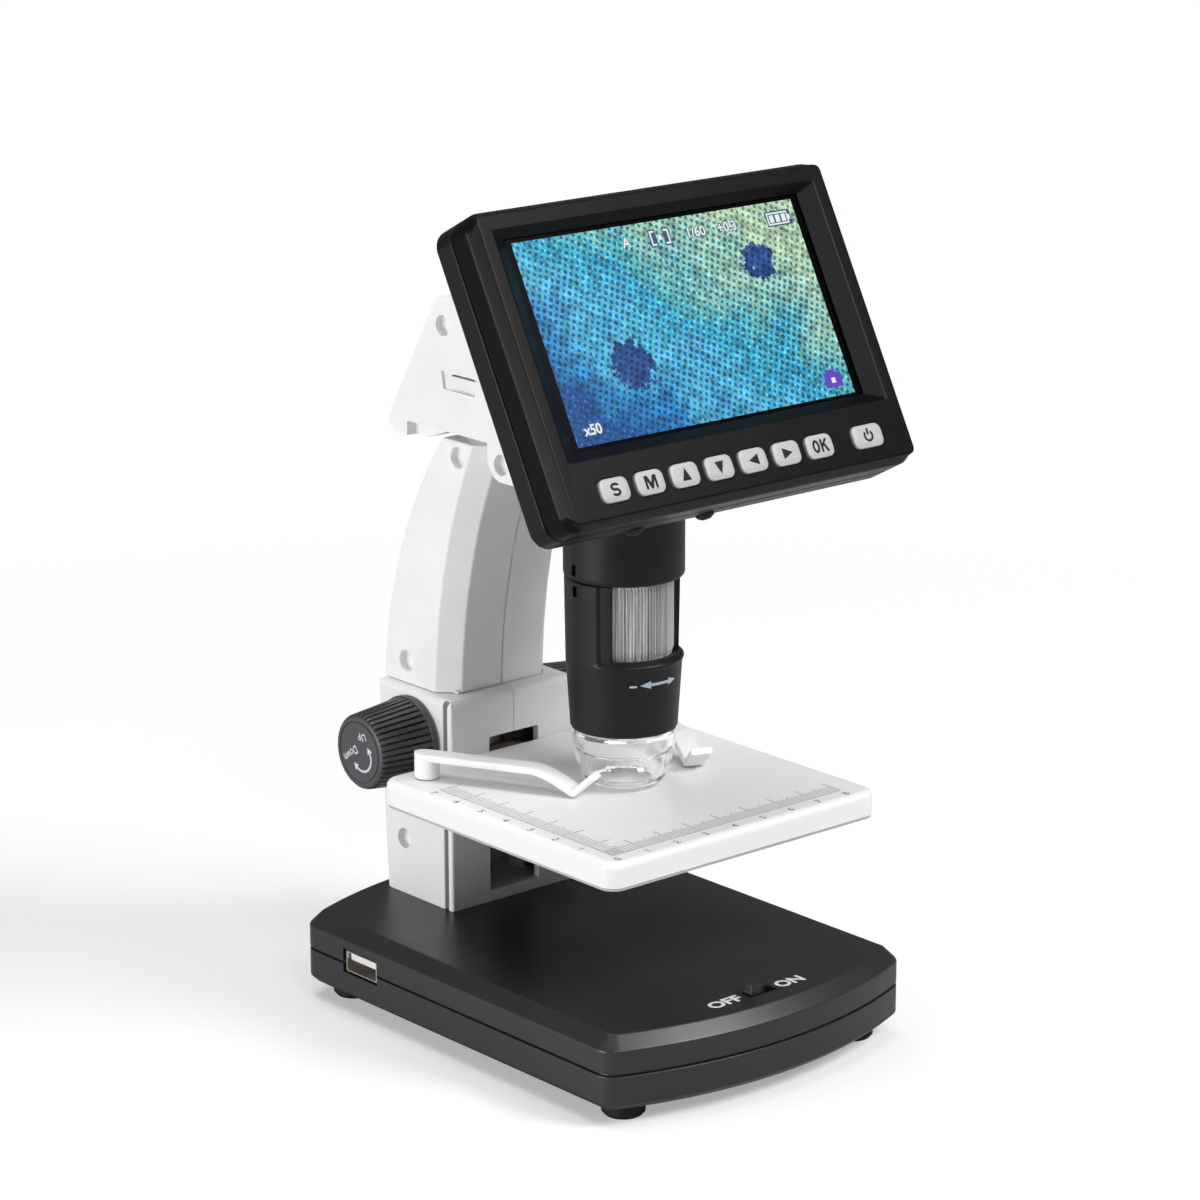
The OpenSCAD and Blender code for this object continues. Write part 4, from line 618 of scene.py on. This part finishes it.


# ---------------------------------------------------------------- stage
# A white ribbed plate with a rounded top edge and a thin lip at its foot, darkened with painted shade,
# screwed to the carriage's neck. Two rulers with millimetre ticks and centimetre numbers are printed along
# its front and left edges.
def lipped():
    """Node group: painted shade on the lip, Paint darker below 0.85 mm above the plate's foot."""
    tree, come, go = group("lipped", {"Paint": "Color"}, {"Colour": "Color"})
    high = add(tree, "SeparateXYZ", {0: object_place(tree)}).outputs["Z"]
    # painted shade: below this line the paint drops to 0.55 of its brightness
    lip = mapped(tree, high, (STAGE_LOW_Z + 0.75) * MM, (STAGE_LOW_Z + 0.95) * MM, 0.55, 1.0)
    tree.links.new(scaled(tree, come["Paint"], lip), go["Colour"])
    return tree


def bar(x0, x1, y0, y1):
    """Rectangle, as a flat shape."""
    return [(x0, y0), (x1, y0), (x1, y1), (x0, y1)], [[0, 1, 2, 3]]


def ruler(cm, number_turn, upward, first_number):
    """Ruler along u from 0, its ticks towards v and its numbers on the other side, as a flat shape."""
    mark = np.arange(cm * 10 + 1)
    reach = np.where(mark % 10 == 0, 7.4, np.where(mark % 5 == 0, 5.2, 4.4))
    half = np.where(mark % 10 == 0, 0.11, 0.085)
    sides = np.stack([mark - half, mark + half, mark + half, mark - half], -1)
    ends = np.stack([0 * reach, 0 * reach, reach, reach], -1) * upward
    quads = np.arange(len(mark) * 4).reshape(-1, 4)[:, ::upward].tolist()
    ticks = np.stack([sides, ends], -1).reshape(-1, 2), quads
    numbers = [moved(letters(str(i), 2.2), i * 10 - 0.8, -2.7 * upward, number_turn)
               for i in range(first_number, cm + 1)]
    return joined(ticks, bar(0, cm * 10, -0.07, 0.07), *numbers)


STAGE_LOW_Z, STAGE_TOP_Z = 61.4, 69.1
RULER_ZERO = (-41.7, -53.5)
STAGE_WHITE = white_moulding("stage_plastic")
# The stage's white takes painted shade along its lip.
painted(STAGE_WHITE, lipped(), Paint=WHITE_PAINT)
dress("stage_plate", STAGE_WHITE, 0.3)
DARK_INK = ink("dark_ink", (0.03, 0.03, 0.035))
for name, rule in (("stage_front_ruler", moved(ruler(8, 0, 1, 0), *RULER_ZERO)),
                   ("stage_side_ruler", moved(ruler(7, 180, -1, 1), *RULER_ZERO, 90))):
    printed(name, rule, on_level(STAGE_TOP_Z), "stage", "white_plastic", DARK_INK)


# ---------------------------------------------------------------- clips
# Each specimen clip is one springy white moulding: a round post under one end of a flat strip that dips to
# the stage and turns up at its tip. A steel pin holds it down.
def round_box(hw, hh, radius, arc_steps=7):
    """Outline of a rectangle of those half sizes with rounded corners, as centre, reach and normal arrays."""
    a = np.radians((np.arange(4)[:, None] * 90 + np.linspace(0, 90, arc_steps)).ravel())
    centre = np.repeat([(1, 1), (-1, 1), (-1, -1), (1, -1)], arc_steps, 0) * [hw - radius, hh - radius]
    return centre, np.full(len(a), float(radius)), np.stack([np.cos(a), np.sin(a)], -1)


def clip_strip():
    """The strip in its own frame, x along it from the post's axis. It is level to x = DROOP_X, then droops by
    0.1233 (x - DROOP_X)^1.5 to the stage and turns up. Its post end is a half circle of radius 3.6."""
    x = np.concatenate([3.59 * np.sin(np.linspace(0, np.pi / 2, 9)) - 3.59, np.linspace(2, 29, 6),
                        np.linspace(DROOP_X, 42.2, 24)])
    z = CLIP_TOP_Z - CLIP_T / 2 - 0.1233 * np.clip(x - DROOP_X, 0, None) ** 1.5
    hook = rounded([(x[-1], z[-1]), (43.0, 70.4), (48.4, 75.3)], 1.2, 7)[1:]
    path = np.concatenate([np.stack([x, z], -1), hook])
    along = np.gradient(path, axis=0)
    along /= np.linalg.norm(along, axis=1, keepdims=True)
    centre, reach, normal = round_box(3, CLIP_T / 2, 0.65)
    section = centre + reach[:, None] * normal
    wide = np.sqrt(1 - (np.clip(path[:, 0], -3.59, 0) / 3.6) ** 2)
    across = wide[:, None] * section[:, 0]
    over = np.broadcast_to(section[:, 1], across.shape)
    return np.stack([path[:, :1] - over * along[:, 1:], across, path[:, 1:] + over * along[:, :1]], -1)


CLIP_TOP_Z, CLIP_T, DROOP_X = 76.3, 2, 31.2
PIVOT_X, PIVOT_Y = 37.6, 27
strip = clip_strip()
post = turned([1.3, 3.1, 3.4, 3.4, 3.1], [69.4, 69.4, 69.7, 74.3, 74.6], np.arange(0, 360, 9))
strip_end = strip.shape[0] * strip.shape[1]
faces = skin(strip) + [[i + strip_end for i in face] for face in skin(post)]
for side, name, heading in ((-1, "clip_left", -62.4), (1, "clip_right", -110.7)):
    c, s = math.cos(math.radians(heading)), math.sin(math.radians(heading))
    points = np.concatenate([strip.reshape(-1, 3), post.reshape(-1, 3)])
    placed = points @ [[c, s, 0], [-s, c, 0], [0, 0, 1]] + [side * PIVOT_X, PIVOT_Y, 0]
    made = piece(name + "_moulding", placed, faces, name + "_body", "white_plastic", WHITE, sharp=40)
    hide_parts(name)
dress("clip_pins", STEEL)


# ---------------------------------------------------------------- head
# Two black satin shells meet at a line behind the bezel, held by a screw near each corner. The bezel's sloped
# recess frames the display, and holes below it take the keys. Two small domes sit under its lower edge.
def on_head(u, v, w):
    """Points in the head's frame: u across, v up the screen, w out of it."""
    u, v, w = (np.asarray(a, float)[..., None] for a in np.broadcast_arrays(u, v, w))
    return HEAD + u * [1, 0, 0] + v * HEAD_V + w * HEAD_W


def on_face(w):
    """Places a print at height w over the head's zero plane."""
    return lambda p: on_head(p[:, 0], p[:, 1], w)


def head_shell(name, node, grid, holes, material, sharp):
    """A shell of the head, from a grid and its holes in the head's frame, that stands for that node."""
    points, faces = pierced(grid, holes)
    made = piece(name, on_head(*points.T), faces, "stand", "black_plastic", material, sharp)
    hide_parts(node)


def window(step, w, radius):
    """Loop round the display: step 0 is the foot of the recess, step 1 its outer edge on the bezel's face."""
    half_u, low, high = 49.1 + 5.3 * step, 27.6 + 3.3 * step, 27.8 + 2.4 * step
    return sweep(round_box(half_u, (low + high) / 2, radius), [(0, w)])[0] + [0, (high - low) / 2, 0]


HEAD = np.array([0, -34.57, 198.6])
HEAD_V = np.array([0, 0.4726, 0.8813])
HEAD_W = np.array([0, -0.8813, 0.4726])
HEAD_MID_V = np.array([0, -6, 0])
HEAD_PART_W, HEAD_WALL = -7, 2.2
HEAD_SHAPE = round_box(59.98, 42, 5.2, 14)
HEAD_BLACK = shader("head_plastic", MOULDED, (0.0050, 0.0047, 0.0050), 0.38, 3000, 0.015, specular=0.20)
BEZEL_BLACK = shader("bezel_plastic", MOULDED, (0.0045, 0.0042, 0.0045), 0.32, 3000, 0.015, specular=0.08)
KEYS = [(-43.6 + 11.6 * i, 4.6) for i in range(7)] + [(43.2, 5.2)]
KEY_V = -39.6
rear_rows = rounded([(6, -15.5), (2.0, -15.5), (0, -13.5), (0, HEAD_PART_W - 0.15),
                     (HEAD_WALL, HEAD_PART_W - 0.15), (HEAD_WALL, -13.3), (6, -13.3)], 0.5)
screw_holes = [turned([2.3, 2.3], [-13.3, -15.5], np.arange(0, 360, 15), u, v)
               for u in (-55.2, 55.2) for v in (-44.6, 33)]
head_shell("head_rear_moulding", "head_rear_shell", sweep(HEAD_SHAPE, rear_rows) + HEAD_MID_V, screw_holes,
           HEAD_BLACK, 30)
bezel_rows = rounded([(5, 0.2), (HEAD_WALL, 0.2), (HEAD_WALL, HEAD_PART_W + 0.15), (0, HEAD_PART_W + 0.15),
                      (0, -0.5), (0.9, 1.35)], 0.6)
bezel = np.concatenate([
    sweep(HEAD_SHAPE, bezel_rows),
    sweep(round_box(58.3, 40.3, 1.7, 14), [(-0.08, 2.8), (0.02, 2.93), (0.2, 2.99), (0.5, 3.0)])])
recess_rows = ((1.07, 3.0, 0.9), (1.0, 2.95, 0.8), (0.93, 2.8, 0.7), (0.16, 0.5, 0.5), (0.12, 0.4, 0.5),
               (0.11, 0.2, 0.5))
openings = [np.stack([window(*row) for row in recess_rows])]
for u, hw in KEYS:
    openings.append(sweep(round_box(hw + 0.2, 3.3, 2.2), [(-0.12, 3.0), (0, 2.88), (0, 0.2)]) + [u, KEY_V, 0])
head_shell("head_bezel_moulding", "head_front_bezel", bezel + HEAD_MID_V, openings, BEZEL_BLACK, 25)
dress("head_bumpers", RUBBER, 0.2)
dress("lcd_frame", BLACK)
dress("main_board key_board sensor_board led_board", BOARD)


# ---------------------------------------------------------------- display
# A 4.3 inch panel behind glossy glass. It shows a made-up view of printed paper: a dotted lattice over broad
# bands from pale green through teal to deep blue, with plain symbols at its edges.
def dotted():
    """Node group: dots on a square lattice turned by Turn, Pitch millimetres apart, over UV coordinates in
    millimetres. Dot is 1 in a dot and 0 between them; Size is their radius as a share of the pitch."""
    tree, come, go = group("dotted", {"Pitch": "Float", "Turn": "Float", "Size": "Float"}, {"Dot": "Float"})
    uv = out(tree, "UVMap", uv_map="millimetres")
    wave = add(tree, "TexNoise", {"Vector": uv, "Scale": 0.35}).outputs["Color"]
    at = out(tree, "VectorMath", {0: uv, 1: scaled(tree, wave, 0.9)}, operation="ADD")
    lattice = out(tree, "VectorRotate", {"Vector": at, "Angle": come["Turn"]}, rotation_type="Z_AXIS")
    squares = []
    for along in add(tree, "SeparateXYZ", {0: lattice}).outputs[:2]:
        off = calc(tree, "PINGPONG", calc(tree, "DIVIDE", along, come["Pitch"]), 0.5)
        squares.append(calc(tree, "POWER", off, 2.0))
    far = calc(tree, "SQRT", calc(tree, "ADD", *squares))
    edge = calc(tree, "DIVIDE", calc(tree, "SUBTRACT", come["Size"], far), 0.11)
    tree.links.new(out(tree, "Clamp", {"Value": edge}), go["Dot"])
    return tree


def colour_ramp(tree, factor, *stops):
    """Colour ramp over the factor, through (position, colour) stops."""
    ramp = add(tree, "ValToRGB", {"Fac": factor})
    points = ramp.color_ramp.elements
    while len(points) < len(stops):
        points.new(0.5)
    for point, (position, colour) in zip(points, stops):
        point.position = position
        point.color = (*colour, 1)
    return ramp.outputs["Color"]


def blend(tree, factor, a, b):
    """Colour a where the factor is 0, b where it is 1."""
    a, b = (c if isinstance(c, bpy.types.NodeSocket) else (*c, 1) for c in (a, b))
    return add(tree, "Mix", {"Factor": factor, 6: a, 7: b}, data_type="RGBA").outputs[2]


def dots(tree, pitch, turn, size):
    """Where the dots of a lattice are."""
    return out(tree, "Group", {"Pitch": pitch, "Turn": turn, "Size": size}, node_tree=DOTS)


DOTS = dotted()
GLASS = shader("screen_glass", MOULDED, (0.002, 0.002, 0.002), 0.2, 40, 0.01, spread=0.05, specular=0.02)
dress("lcd_panel", GLASS)
UNLIT = (0.01, 0.01, 0.01, 1)
PICTURE, tree, surface = blank_material("screen_picture", Base_Color=UNLIT, Roughness=0.2,
                                        Specular_IOR_Level=0.08, Emission_Strength=0.95)
uv = out(tree, "UVMap", uv_map="millimetres")
cloud = noise(tree, uv, 0.045, 3.0, 0.55)
fleck = noise(tree, uv, 0.30, 4.0, 0.75)
u, v = add(tree, "SeparateXYZ", {0: uv}).outputs[:2]
across = calc(tree, "MULTIPLY_ADD", v, -0.009, calc(tree, "MULTIPLY", u, -0.0065))
level = calc(tree, "ADD", calc(tree, "MULTIPLY_ADD", cloud, 0.55, across), 0.27)
paper = colour_ramp(tree, level, (0.14, (0.62, 0.82, 0.55)), (0.34, (0.36, 0.72, 0.62)),
                    (0.46, (0.10, 0.60, 0.66)), (0.58, (0.03, 0.52, 0.76)), (0.68, (0.12, 0.66, 0.90)),
                    (0.84, (0.02, 0.32, 0.70)), (0.96, (0.01, 0.10, 0.36)))
spots = colour_ramp(tree, level, (0.12, (0.08, 0.36, 0.38)), (0.36, (0.01, 0.20, 0.32)),
                    (0.52, (0.01, 0.14, 0.40)), (0.68, (0.01, 0.18, 0.58)), (0.84, (0.00, 0.07, 0.30)))
pale_spots = colour_ramp(tree, level, (0.1, (1.0, 0.95, 0.40)), (0.6, (0.45, 0.75, 0.45)),
                         (0.9, (0.05, 0.25, 0.60)))
fine = dots(tree, 1.8, 0.45, calc(tree, "MULTIPLY_ADD", cloud, 0.30, 0.20))
picture = blend(tree, dots(tree, 1.8, 0.95, 0.22), paper, pale_spots)
picture = blend(tree, fine, picture, spots)
ragged = calc(tree, "MULTIPLY_ADD", fleck, 11.0, -5.5)
blot = blend(tree, fine, (0.02, 0.10, 0.36), (0.01, 0.03, 0.16))
for u0, v0, reach in ((-22.0, -9.0, 6.5), (30.0, 12.0, 5.0)):
    off = out(tree, "VectorMath", {0: uv, 1: (u0, v0, 0)}, operation="SUBTRACT")
    away = add(tree, "VectorMath", {0: off}, operation="LENGTH").outputs["Value"]
    inside = mapped(tree, calc(tree, "ADD", away, ragged), reach + 0.4, reach - 0.4)
    picture = blend(tree, inside, picture, blot)
shade = calc(tree, "MULTIPLY_ADD", fleck, 2.9, -0.65)
tree.links.new(scaled(tree, picture, shade), surface["Emission Color"])
PICTURE_HALF_U, PICTURE_HALF_V, PANEL_W = 47.5, 26.95, -0.2
corners = np.array([(-1, -1), (1, -1), (1, 1), (-1, 1)]) * [PICTURE_HALF_U, PICTURE_HALF_V]
screen = piece("screen_picture", on_head(*corners.T, PANEL_W + 0.02), [[0, 1, 2, 3]], "stand", "screen_glass",
               PICTURE)
screen.data.uv_layers.new(name="millimetres").data.foreach_set("uv", corners.ravel())

SYMBOL_WHITE, tree, surface = blank_material("symbol_white", Base_Color=UNLIT, Roughness=0.14,
                                             Emission_Strength=0.9)
flicker = noise(tree, object_place(tree), 400.0)
lamp_white = colour_ramp(tree, flicker, (0.3, (0.80, 0.90, 0.90)), (0.7, (0.95, 0.97, 0.95)))
tree.links.new(lamp_white, surface["Emission Color"])
SYMBOL_SHADE = shader("symbol_shade", MOULDED, (0.02, 0.06, 0.14), 0.2, 3000, 0.002)
SYMBOL_BADGE = shader("symbol_badge", MOULDED, (0.10, 0.04, 0.42), 0.2, 3000, 0.002)


def frame_of(x0, x1, y0, y1, t):
    """Four bars round a rectangle."""
    return joined(bar(x0, x1, y0, y0 + t), bar(x0, x1, y1 - t, y1), bar(x0, x0 + t, y0 + t, y1 - t),
                  bar(x1 - t, x1, y0 + t, y1 - t))


def readings(height, weight):
    """The four readings shown on the display."""
    return [moved(letters(text, height, weight=weight), u, v) for text, u, v in
            (("x50", -41.2, -23.0), ("1/60", 12.5, 22.4), ("+0.3", 23.0, 22.4), ("A", -11.5, 22.4))]


cells = [bar(x, x + 1.5, 21.4, 23.4) for x in (38.2, 40.3, 42.4)]
battery = joined(frame_of(37.4, 44.7, 20.7, 24.1, 0.45), bar(44.7, 45.4, 21.7, 23.1), *cells)
brackets = joined(bar(-3.2, -1.6, 20.4, 20.9), bar(-3.2, -2.7, 20.9, 23.9), bar(-3.2, -1.6, 23.9, 24.4),
                  bar(1.6, 3.2, 20.4, 20.9), bar(2.7, 3.2, 20.9, 23.9), bar(1.6, 3.2, 23.9, 24.4),
                  bar(-0.6, 0.6, 21.8, 23.0))
symbols = joined(battery, brackets, *readings(2.8, 0.02))
shades = joined(bar(37.0, 45.8, 20.3, 24.5), bar(-3.6, -1.2, 20.0, 24.8), bar(1.2, 3.6, 20.0, 24.8),
                *readings(3.3, 0.07))
badge = joined(bar(38.6, 44.6, -24.6, -20.6), bar(40.4, 42.8, -20.6, -19.8))
for name, shape, paint, lift in (("symbol_shades", shades, SYMBOL_SHADE, 0.03),
                                 ("symbol_badge", badge, SYMBOL_BADGE, 0.03),
                                 ("symbols", symbols, SYMBOL_WHITE, 0.04),
                                 ("symbol_dot", bar(40.9, 42.3, -23.4, -22.0), SYMBOL_WHITE, 0.04)):
    printed(name, shape, on_face(PANEL_W + lift), "stand", "screen_glass", paint)


# ---------------------------------------------------------------- keys
# Eight pale grey moulded key caps over rubber domes, each with a slightly raised middle and a black printed
# sign.
def band(inner, outer, start=0, end=360):
    """Elliptic ring between two pairs of radii, from one angle to another, as a flat shape."""
    a = np.radians(np.linspace(start, end, 33))
    n = np.arange(32)[:, None] * 2
    edges = [np.stack([x * np.cos(a), y * np.sin(a)], -1) for x, y in (inner, outer)]
    return np.stack(edges, 1).reshape(-1, 2), (n + [0, 1, 3, 2]).tolist()


def triangle(turn):
    """Triangle that points up before it is turned."""
    return moved(([(-1.5, -1.55), (1.5, -1.55), (0, 1.8)], [[0, 1, 2]]), 0, 0, turn)


KEY_CAP = shader("key_plastic", MOULDED, (0.41, 0.41, 0.425), 0.40, 3000, 0.01)
KEY_INK = ink("key_ink", (0.008, 0.008, 0.009))
KEY_TOP = 3.8
half_m = [(-1.95, -1.75), (-1.2, -1.75), (-1.2, 0.45), (-0.35, -1.75), (0, -1.75), (0, -0.1), (-0.85, 1.75),
          (-1.95, 1.75)]
letter_m = joined((half_m, [[0, 1, 2, 7], [2, 3, 4, 5], [2, 5, 6, 7]]),
                  ([(-x, y) for x, y in half_m], [[7, 2, 1, 0], [5, 4, 3, 2], [7, 6, 5, 2]]))
letter_k = joined(bar(0, 0.7, -1.75, 1.75),
                  ([(0.7, -0.5), (2.6, 1.75), (1.75, 1.75), (0.7, 0.5)], [[0, 1, 2, 3]]),
                  ([(1.05, -0.086), (1.8, -1.75), (2.7, -1.75), (1.55, 0.506)], [[0, 1, 2, 3]]))
bowls = [moved(band((0.75, 0.36), (1.5, 1.06), *turns), 0, v)
         for v, turns in ((0.7, (20, 270)), (-0.7, (-160, 90)))]
signs = {"key_s": joined(*bowls), "key_m": letter_m, "key_up": triangle(0), "key_down": triangle(180),
         "key_left": triangle(90), "key_right": triangle(270),
         "key_ok": joined(moved(band((0.5, 1.05), (1.2, 1.75)), -1.5, 0), moved(letter_k, 0.1, 0)),
         "key_power": joined(band((1.0, 1.0), (1.65, 1.65), 130, 410), bar(-0.33, 0.33, 0.3, 2.1))}
key_rows = [(-0.8, -0.6), (-0.8, -0.1), (0, -0.1), (0, 3.42), (0.06, 3.56), (0.22, 3.66), (0.42, 3.69),
            (0.85, 3.69), (0.98, 3.74), (1.08, 3.79), (1.25, KEY_TOP)]
for (u0, hw), (name, sign) in zip(KEYS, signs.items()):
    cap = sweep(round_box(hw, 3.1, 2), key_rows) + [u0, KEY_V, 0]
    made = piece(name + "_cap", on_head(*np.moveaxis(cap, -1, 0)), skin(cap), name + "_body", "key_plastic",
                 KEY_CAP)
    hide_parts(name)
    printed(name + "_sign", moved(sign, u0 + 0.1, KEY_V), on_face(KEY_TOP + INK_LIFT), name + "_body",
            "key_plastic", KEY_INK)


# ---------------------------------------------------------------- tube collar
# Black moulded collar. Its flange is clamped between the bracket's halves, and two small snap slots in its
# wall hold the neck of the tube.
def slotted(grid, z0, z1):
    """The grid with its points between two heights pushed SLOT_DEPTH in at the two snap slots."""
    x, y, z = grid[..., 0], grid[..., 1] - TUBE_Y, grid[..., 2]
    around = np.degrees(np.arctan2(y, x))
    in_slot = np.abs((around + 6 + 90) % 180 - 90) < 3.25
    deep = in_slot & (z > z0) & (z < z1) & (np.hypot(x, y) > 14.5)
    grid = grid.copy()
    inward = np.stack([np.cos(np.radians(around)), np.sin(np.radians(around))], -1)
    grid[..., :2] -= np.where(deep, SLOT_DEPTH, 0)[..., None] * inward
    return grid


def from_back(*angles):
    """All those angles in degrees, sorted, and turned to start at the tube's back, at 92."""
    angles = np.concatenate(angles) % 360
    return np.sort(np.where(angles < 92, angles + 360, angles))


TUBE_Y = -10
SLOT_DEPTH = 1.3
SLOT_EDGES = np.concatenate([np.array([-3.3, -3.2, 3.2, 3.3]) + middle for middle in (174, 354)])
COLLAR_LOW, COLLAR_TOP = 126.9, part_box("tube_collar")[1][2] / MM
TUBE_BLACK = shader("tube_plastic", MOULDED, (0.0065, 0.0062, 0.0065), 0.42, 2600, 0.02, specular=0.26)
collar = np.array([(14.0, COLLAR_TOP), (14.0, 131.9), (15.05, 131.9), (15.05, COLLAR_LOW), (15.3, COLLAR_LOW),
                   (15.75, 127.05), (16.0, 127.35), (16.1, 127.8), (16.1, 128.45), (16.1, 128.5),
                   (16.1, 128.55), (16.1, 131.25), (16.1, 131.3), (16.1, 131.35), (16.1, COLLAR_TOP - 1.4),
                   (17.2, COLLAR_TOP - 1.4), (17.2, COLLAR_TOP)])
grid = turned(*collar.T, from_back(np.arange(92, 452, 4), SLOT_EDGES), y=TUBE_Y)
grid = slotted(grid, 128.49, 131.31)
made = piece("tube_collar_moulding", grid, skin(grid, loop=True), "stand", "black_plastic", TUBE_BLACK, 35)
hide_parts("tube_collar")

# ---------------------------------------------------------------- tube housing
# Tapered black moulding with a tall window over the front of the focus ring. A lip bulges out under the
# window, and a pale double arrow with a minus sign is printed below it.
WINDOW_Z, WINDOW_EDGES = 106.2, (215.0, 325.0)
HOUSING_TOP = COLLAR_LOW - 0.15
TAPER_Z, TAPER_R = [85.3, 104, 126], [14.3, 15.5, 15.85]
angle = from_back(np.arange(92, 200, 4), np.linspace(*WINDOW_EDGES, 42), np.arange(201.4, 214, 2.6),
                  np.arange(326.6, 340, 2.6), np.arange(342, 452, 4), SLOT_EDGES)
z = np.sort(np.concatenate([[85.7, 86.3], np.arange(88, 102, 2), np.arange(102.2, WINDOW_Z - 0.1, 0.35),
                            [WINDOW_Z], np.arange(108, 122, 2), [122.65, 122.7, 122.75],
                            [125.45, 125.5, 125.55, HOUSING_TOP - 0.2]]))
off_window = np.clip((np.abs(angle - 270) - 62) / 10, 0, 1)
lip = 0.40 * np.exp(-((z - 104.7) / 0.85) ** 2)[:, None] * (0.5 + 0.5 * np.cos(np.pi * off_window))
lip -= 0.95 * np.clip((z - 105.2) / 0.8, 0, 1)[:, None] * (np.abs(angle - 270) < 68.2)
plain = np.ones(len(angle))
taper = np.interp(z, TAPER_Z, TAPER_R)[:, None]
r = np.concatenate([np.outer([12.65, 12.65, 13.9, 14.15], plain), taper + lip,
                    np.outer([15.65, 14.0, 13.45, 13.45, 13.45, 12.65], plain)])
z = np.concatenate([[103.6, 85.3, 85.3, 85.4], z,
                    [HOUSING_TOP, HOUSING_TOP, HOUSING_TOP - 0.6, WINDOW_Z, 105.1, 103.6]])
window_rows = np.flatnonzero(np.abs(z - WINDOW_Z) < 1e-9)
window_columns = [int(np.argmin(np.abs(angle - a))) for a in WINDOW_EDGES]
grid = slotted(turned(r, z, angle, y=TUBE_Y), 122.69, 125.51)
faces = skin(grid, loop=True, cut=(*window_rows, *window_columns))
made = piece("tube_housing_moulding", grid, faces, "stand", "black_plastic", TUBE_BLACK, sharp=35)
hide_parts("tube_housing")


def on_tube(p):
    """Places a print on the housing's taper: u is the arc length from the front, v the height."""
    r = np.interp(p[:, 1], TAPER_Z, TAPER_R) + 2 * INK_LIFT
    a = p[:, 0] / 15.25 - math.pi / 2
    return np.stack([r * np.cos(a), TUBE_Y + r * np.sin(a), p[:, 1]], -1)


TUBE_INK = ink("tube_ink", (0.36, 0.41, 0.48))
marks = joined(moved(arrow(12.0, 3.1, 2.1, 0.75), -0.7, 100.1),
               moved(arrow(2.1, 0.2, 0.55, 0.55, 6), -8.5, 99.9))
printed("tube_marks", marks, on_tube, "stand", "black_plastic", TUBE_INK)


# ---------------------------------------------------------------- focus ring
# Silver-grey ring with ninety fine ribs for the finger. It turns inside the housing and shows in the window
# between the two jambs.
def streaked():
    """Node group: noise drawn out along the ring's axis, so that each rib takes its own shade of grey."""
    tree, come, go = group("streaked", {"Dark": "Color", "Light": "Color"}, {"Colour": "Color"})
    drawn = out(tree, "Mapping", {"Vector": object_place(tree), "Scale": (1, 1, 0.02)})
    sharp = mapped(tree, noise(tree, drawn, 1150.0, 3.0), 0.30, 0.66)
    tree.links.new(blend(tree, sharp, come["Dark"], come["Light"]), go["Colour"])
    return tree


RING = shader("ring_metal", BRUSHED, (0.5, 0.5, 0.5), 0.36, 900, 0.01, metallic=0.35)
painted(RING, streaked(), Dark=(0.23, 0.23, 0.23), Light=(0.66, 0.66, 0.65))
RING_RIBS = 90
RING_Z = (105.4, 126.6)
rib_phase = np.array([0, 0.18, 0.34, 0.5, 0.66, 0.82])
angle = ((np.arange(RING_RIBS)[:, None] + rib_phase) * 360 / RING_RIBS).ravel()
valley = np.clip((0.36 - np.abs(angle * RING_RIBS / 360 % 1 - 0.5)) / 0.2, 0, 1)
z = np.array([105.4, 105.9, 106.5, 107.4, 108.6, 116, 125.6, 126.1, 126.6])
ridge = np.array([12.75, 12.8, 13.0, 13.17, 13.2, 13.2, 13.2, 12.9, 12.75])
depth = np.array([0, 0.1, 0.55, 0.7, 0.55, 0.52, 0.52, 0.1, 0])
r = np.concatenate([np.full((2, len(angle)), 10.6), ridge[:, None] - depth[:, None] * valley])
grid = turned(r, np.concatenate([RING_Z[::-1], z]), angle, y=TUBE_Y)
made = piece("focus_ring_ribbed", grid, skin(grid, loop=True), "ring", "ring_metal", RING, sharp=60)
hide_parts("focus_ring")

# ---------------------------------------------------------------- clear tip
# Clear moulded nose that carries the light of the lamps round the lens. A faint even glow is painted into it,
# which brightens it. It is turned in steps inside and out and pressed into the housing.
# painted light: the small white emission makes the clear plastic glow faintly
CLEAR, tree, surface = blank_material("clear_plastic", Base_Color=(0.97, 0.98, 0.98, 1), Metallic=0.0,
                                      Transmission_Weight=1.0, IOR=1.2, Emission_Color=PURE,
                                      Emission_Strength=0.025)
waves = noise(tree, object_place(tree), 130.0, 3.0)
bump = out(tree, "Bump", {"Strength": 0.35, "Distance": 0.0012, "Height": waves})
tree.links.new(bump, surface["Normal"])
tree.links.new(mapped(tree, waves, 0.0, 1.0, 0.01, 0.07), surface["Roughness"])
tip = rounded([(12.5, 87), (11.4, 87), (11.4, 84.4), (12.5, 83.3), (11.9, 79.2), (10.9, 78.6), (10.4, 75.4),
               (9.3, 72.0), (7.3, 71.5), (7.3, 70.35), (9.4, 70.3), (10.7, 70.7), (11.3, 71.9), (12.9, 76.2),
               (13.5, 80.2), (13.95, 84.3), (13.95, 84.95), (12.5, 85.0)], 0.5, 4)
grid = turned(*tip.T, np.arange(0, 360, 3.75), y=TUBE_Y)
made = piece("clear_tip_moulding", grid, skin(grid, loop=True), "stand", "clear_plastic", CLEAR, sharp=35)
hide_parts("clear_tip")

# ---------------------------------------------------------------- lens and retainer
# Inside the tube a black retainer keeps the ring in. The ring's thread carries the black lens barrel, which
# holds the glass lens elements.
OPTIC = shader("optical_glass", MOULDED, (0.97, 0.98, 1.0), 0.02, 200, 0.001, spread=0.02)
OPTIC.node_tree.nodes["Principled BSDF"].inputs["Transmission Weight"].default_value = 1.0
dress("ring_retainer lens_barrel", TUBE_BLACK, 0.1)
dress("lens_elements", OPTIC)
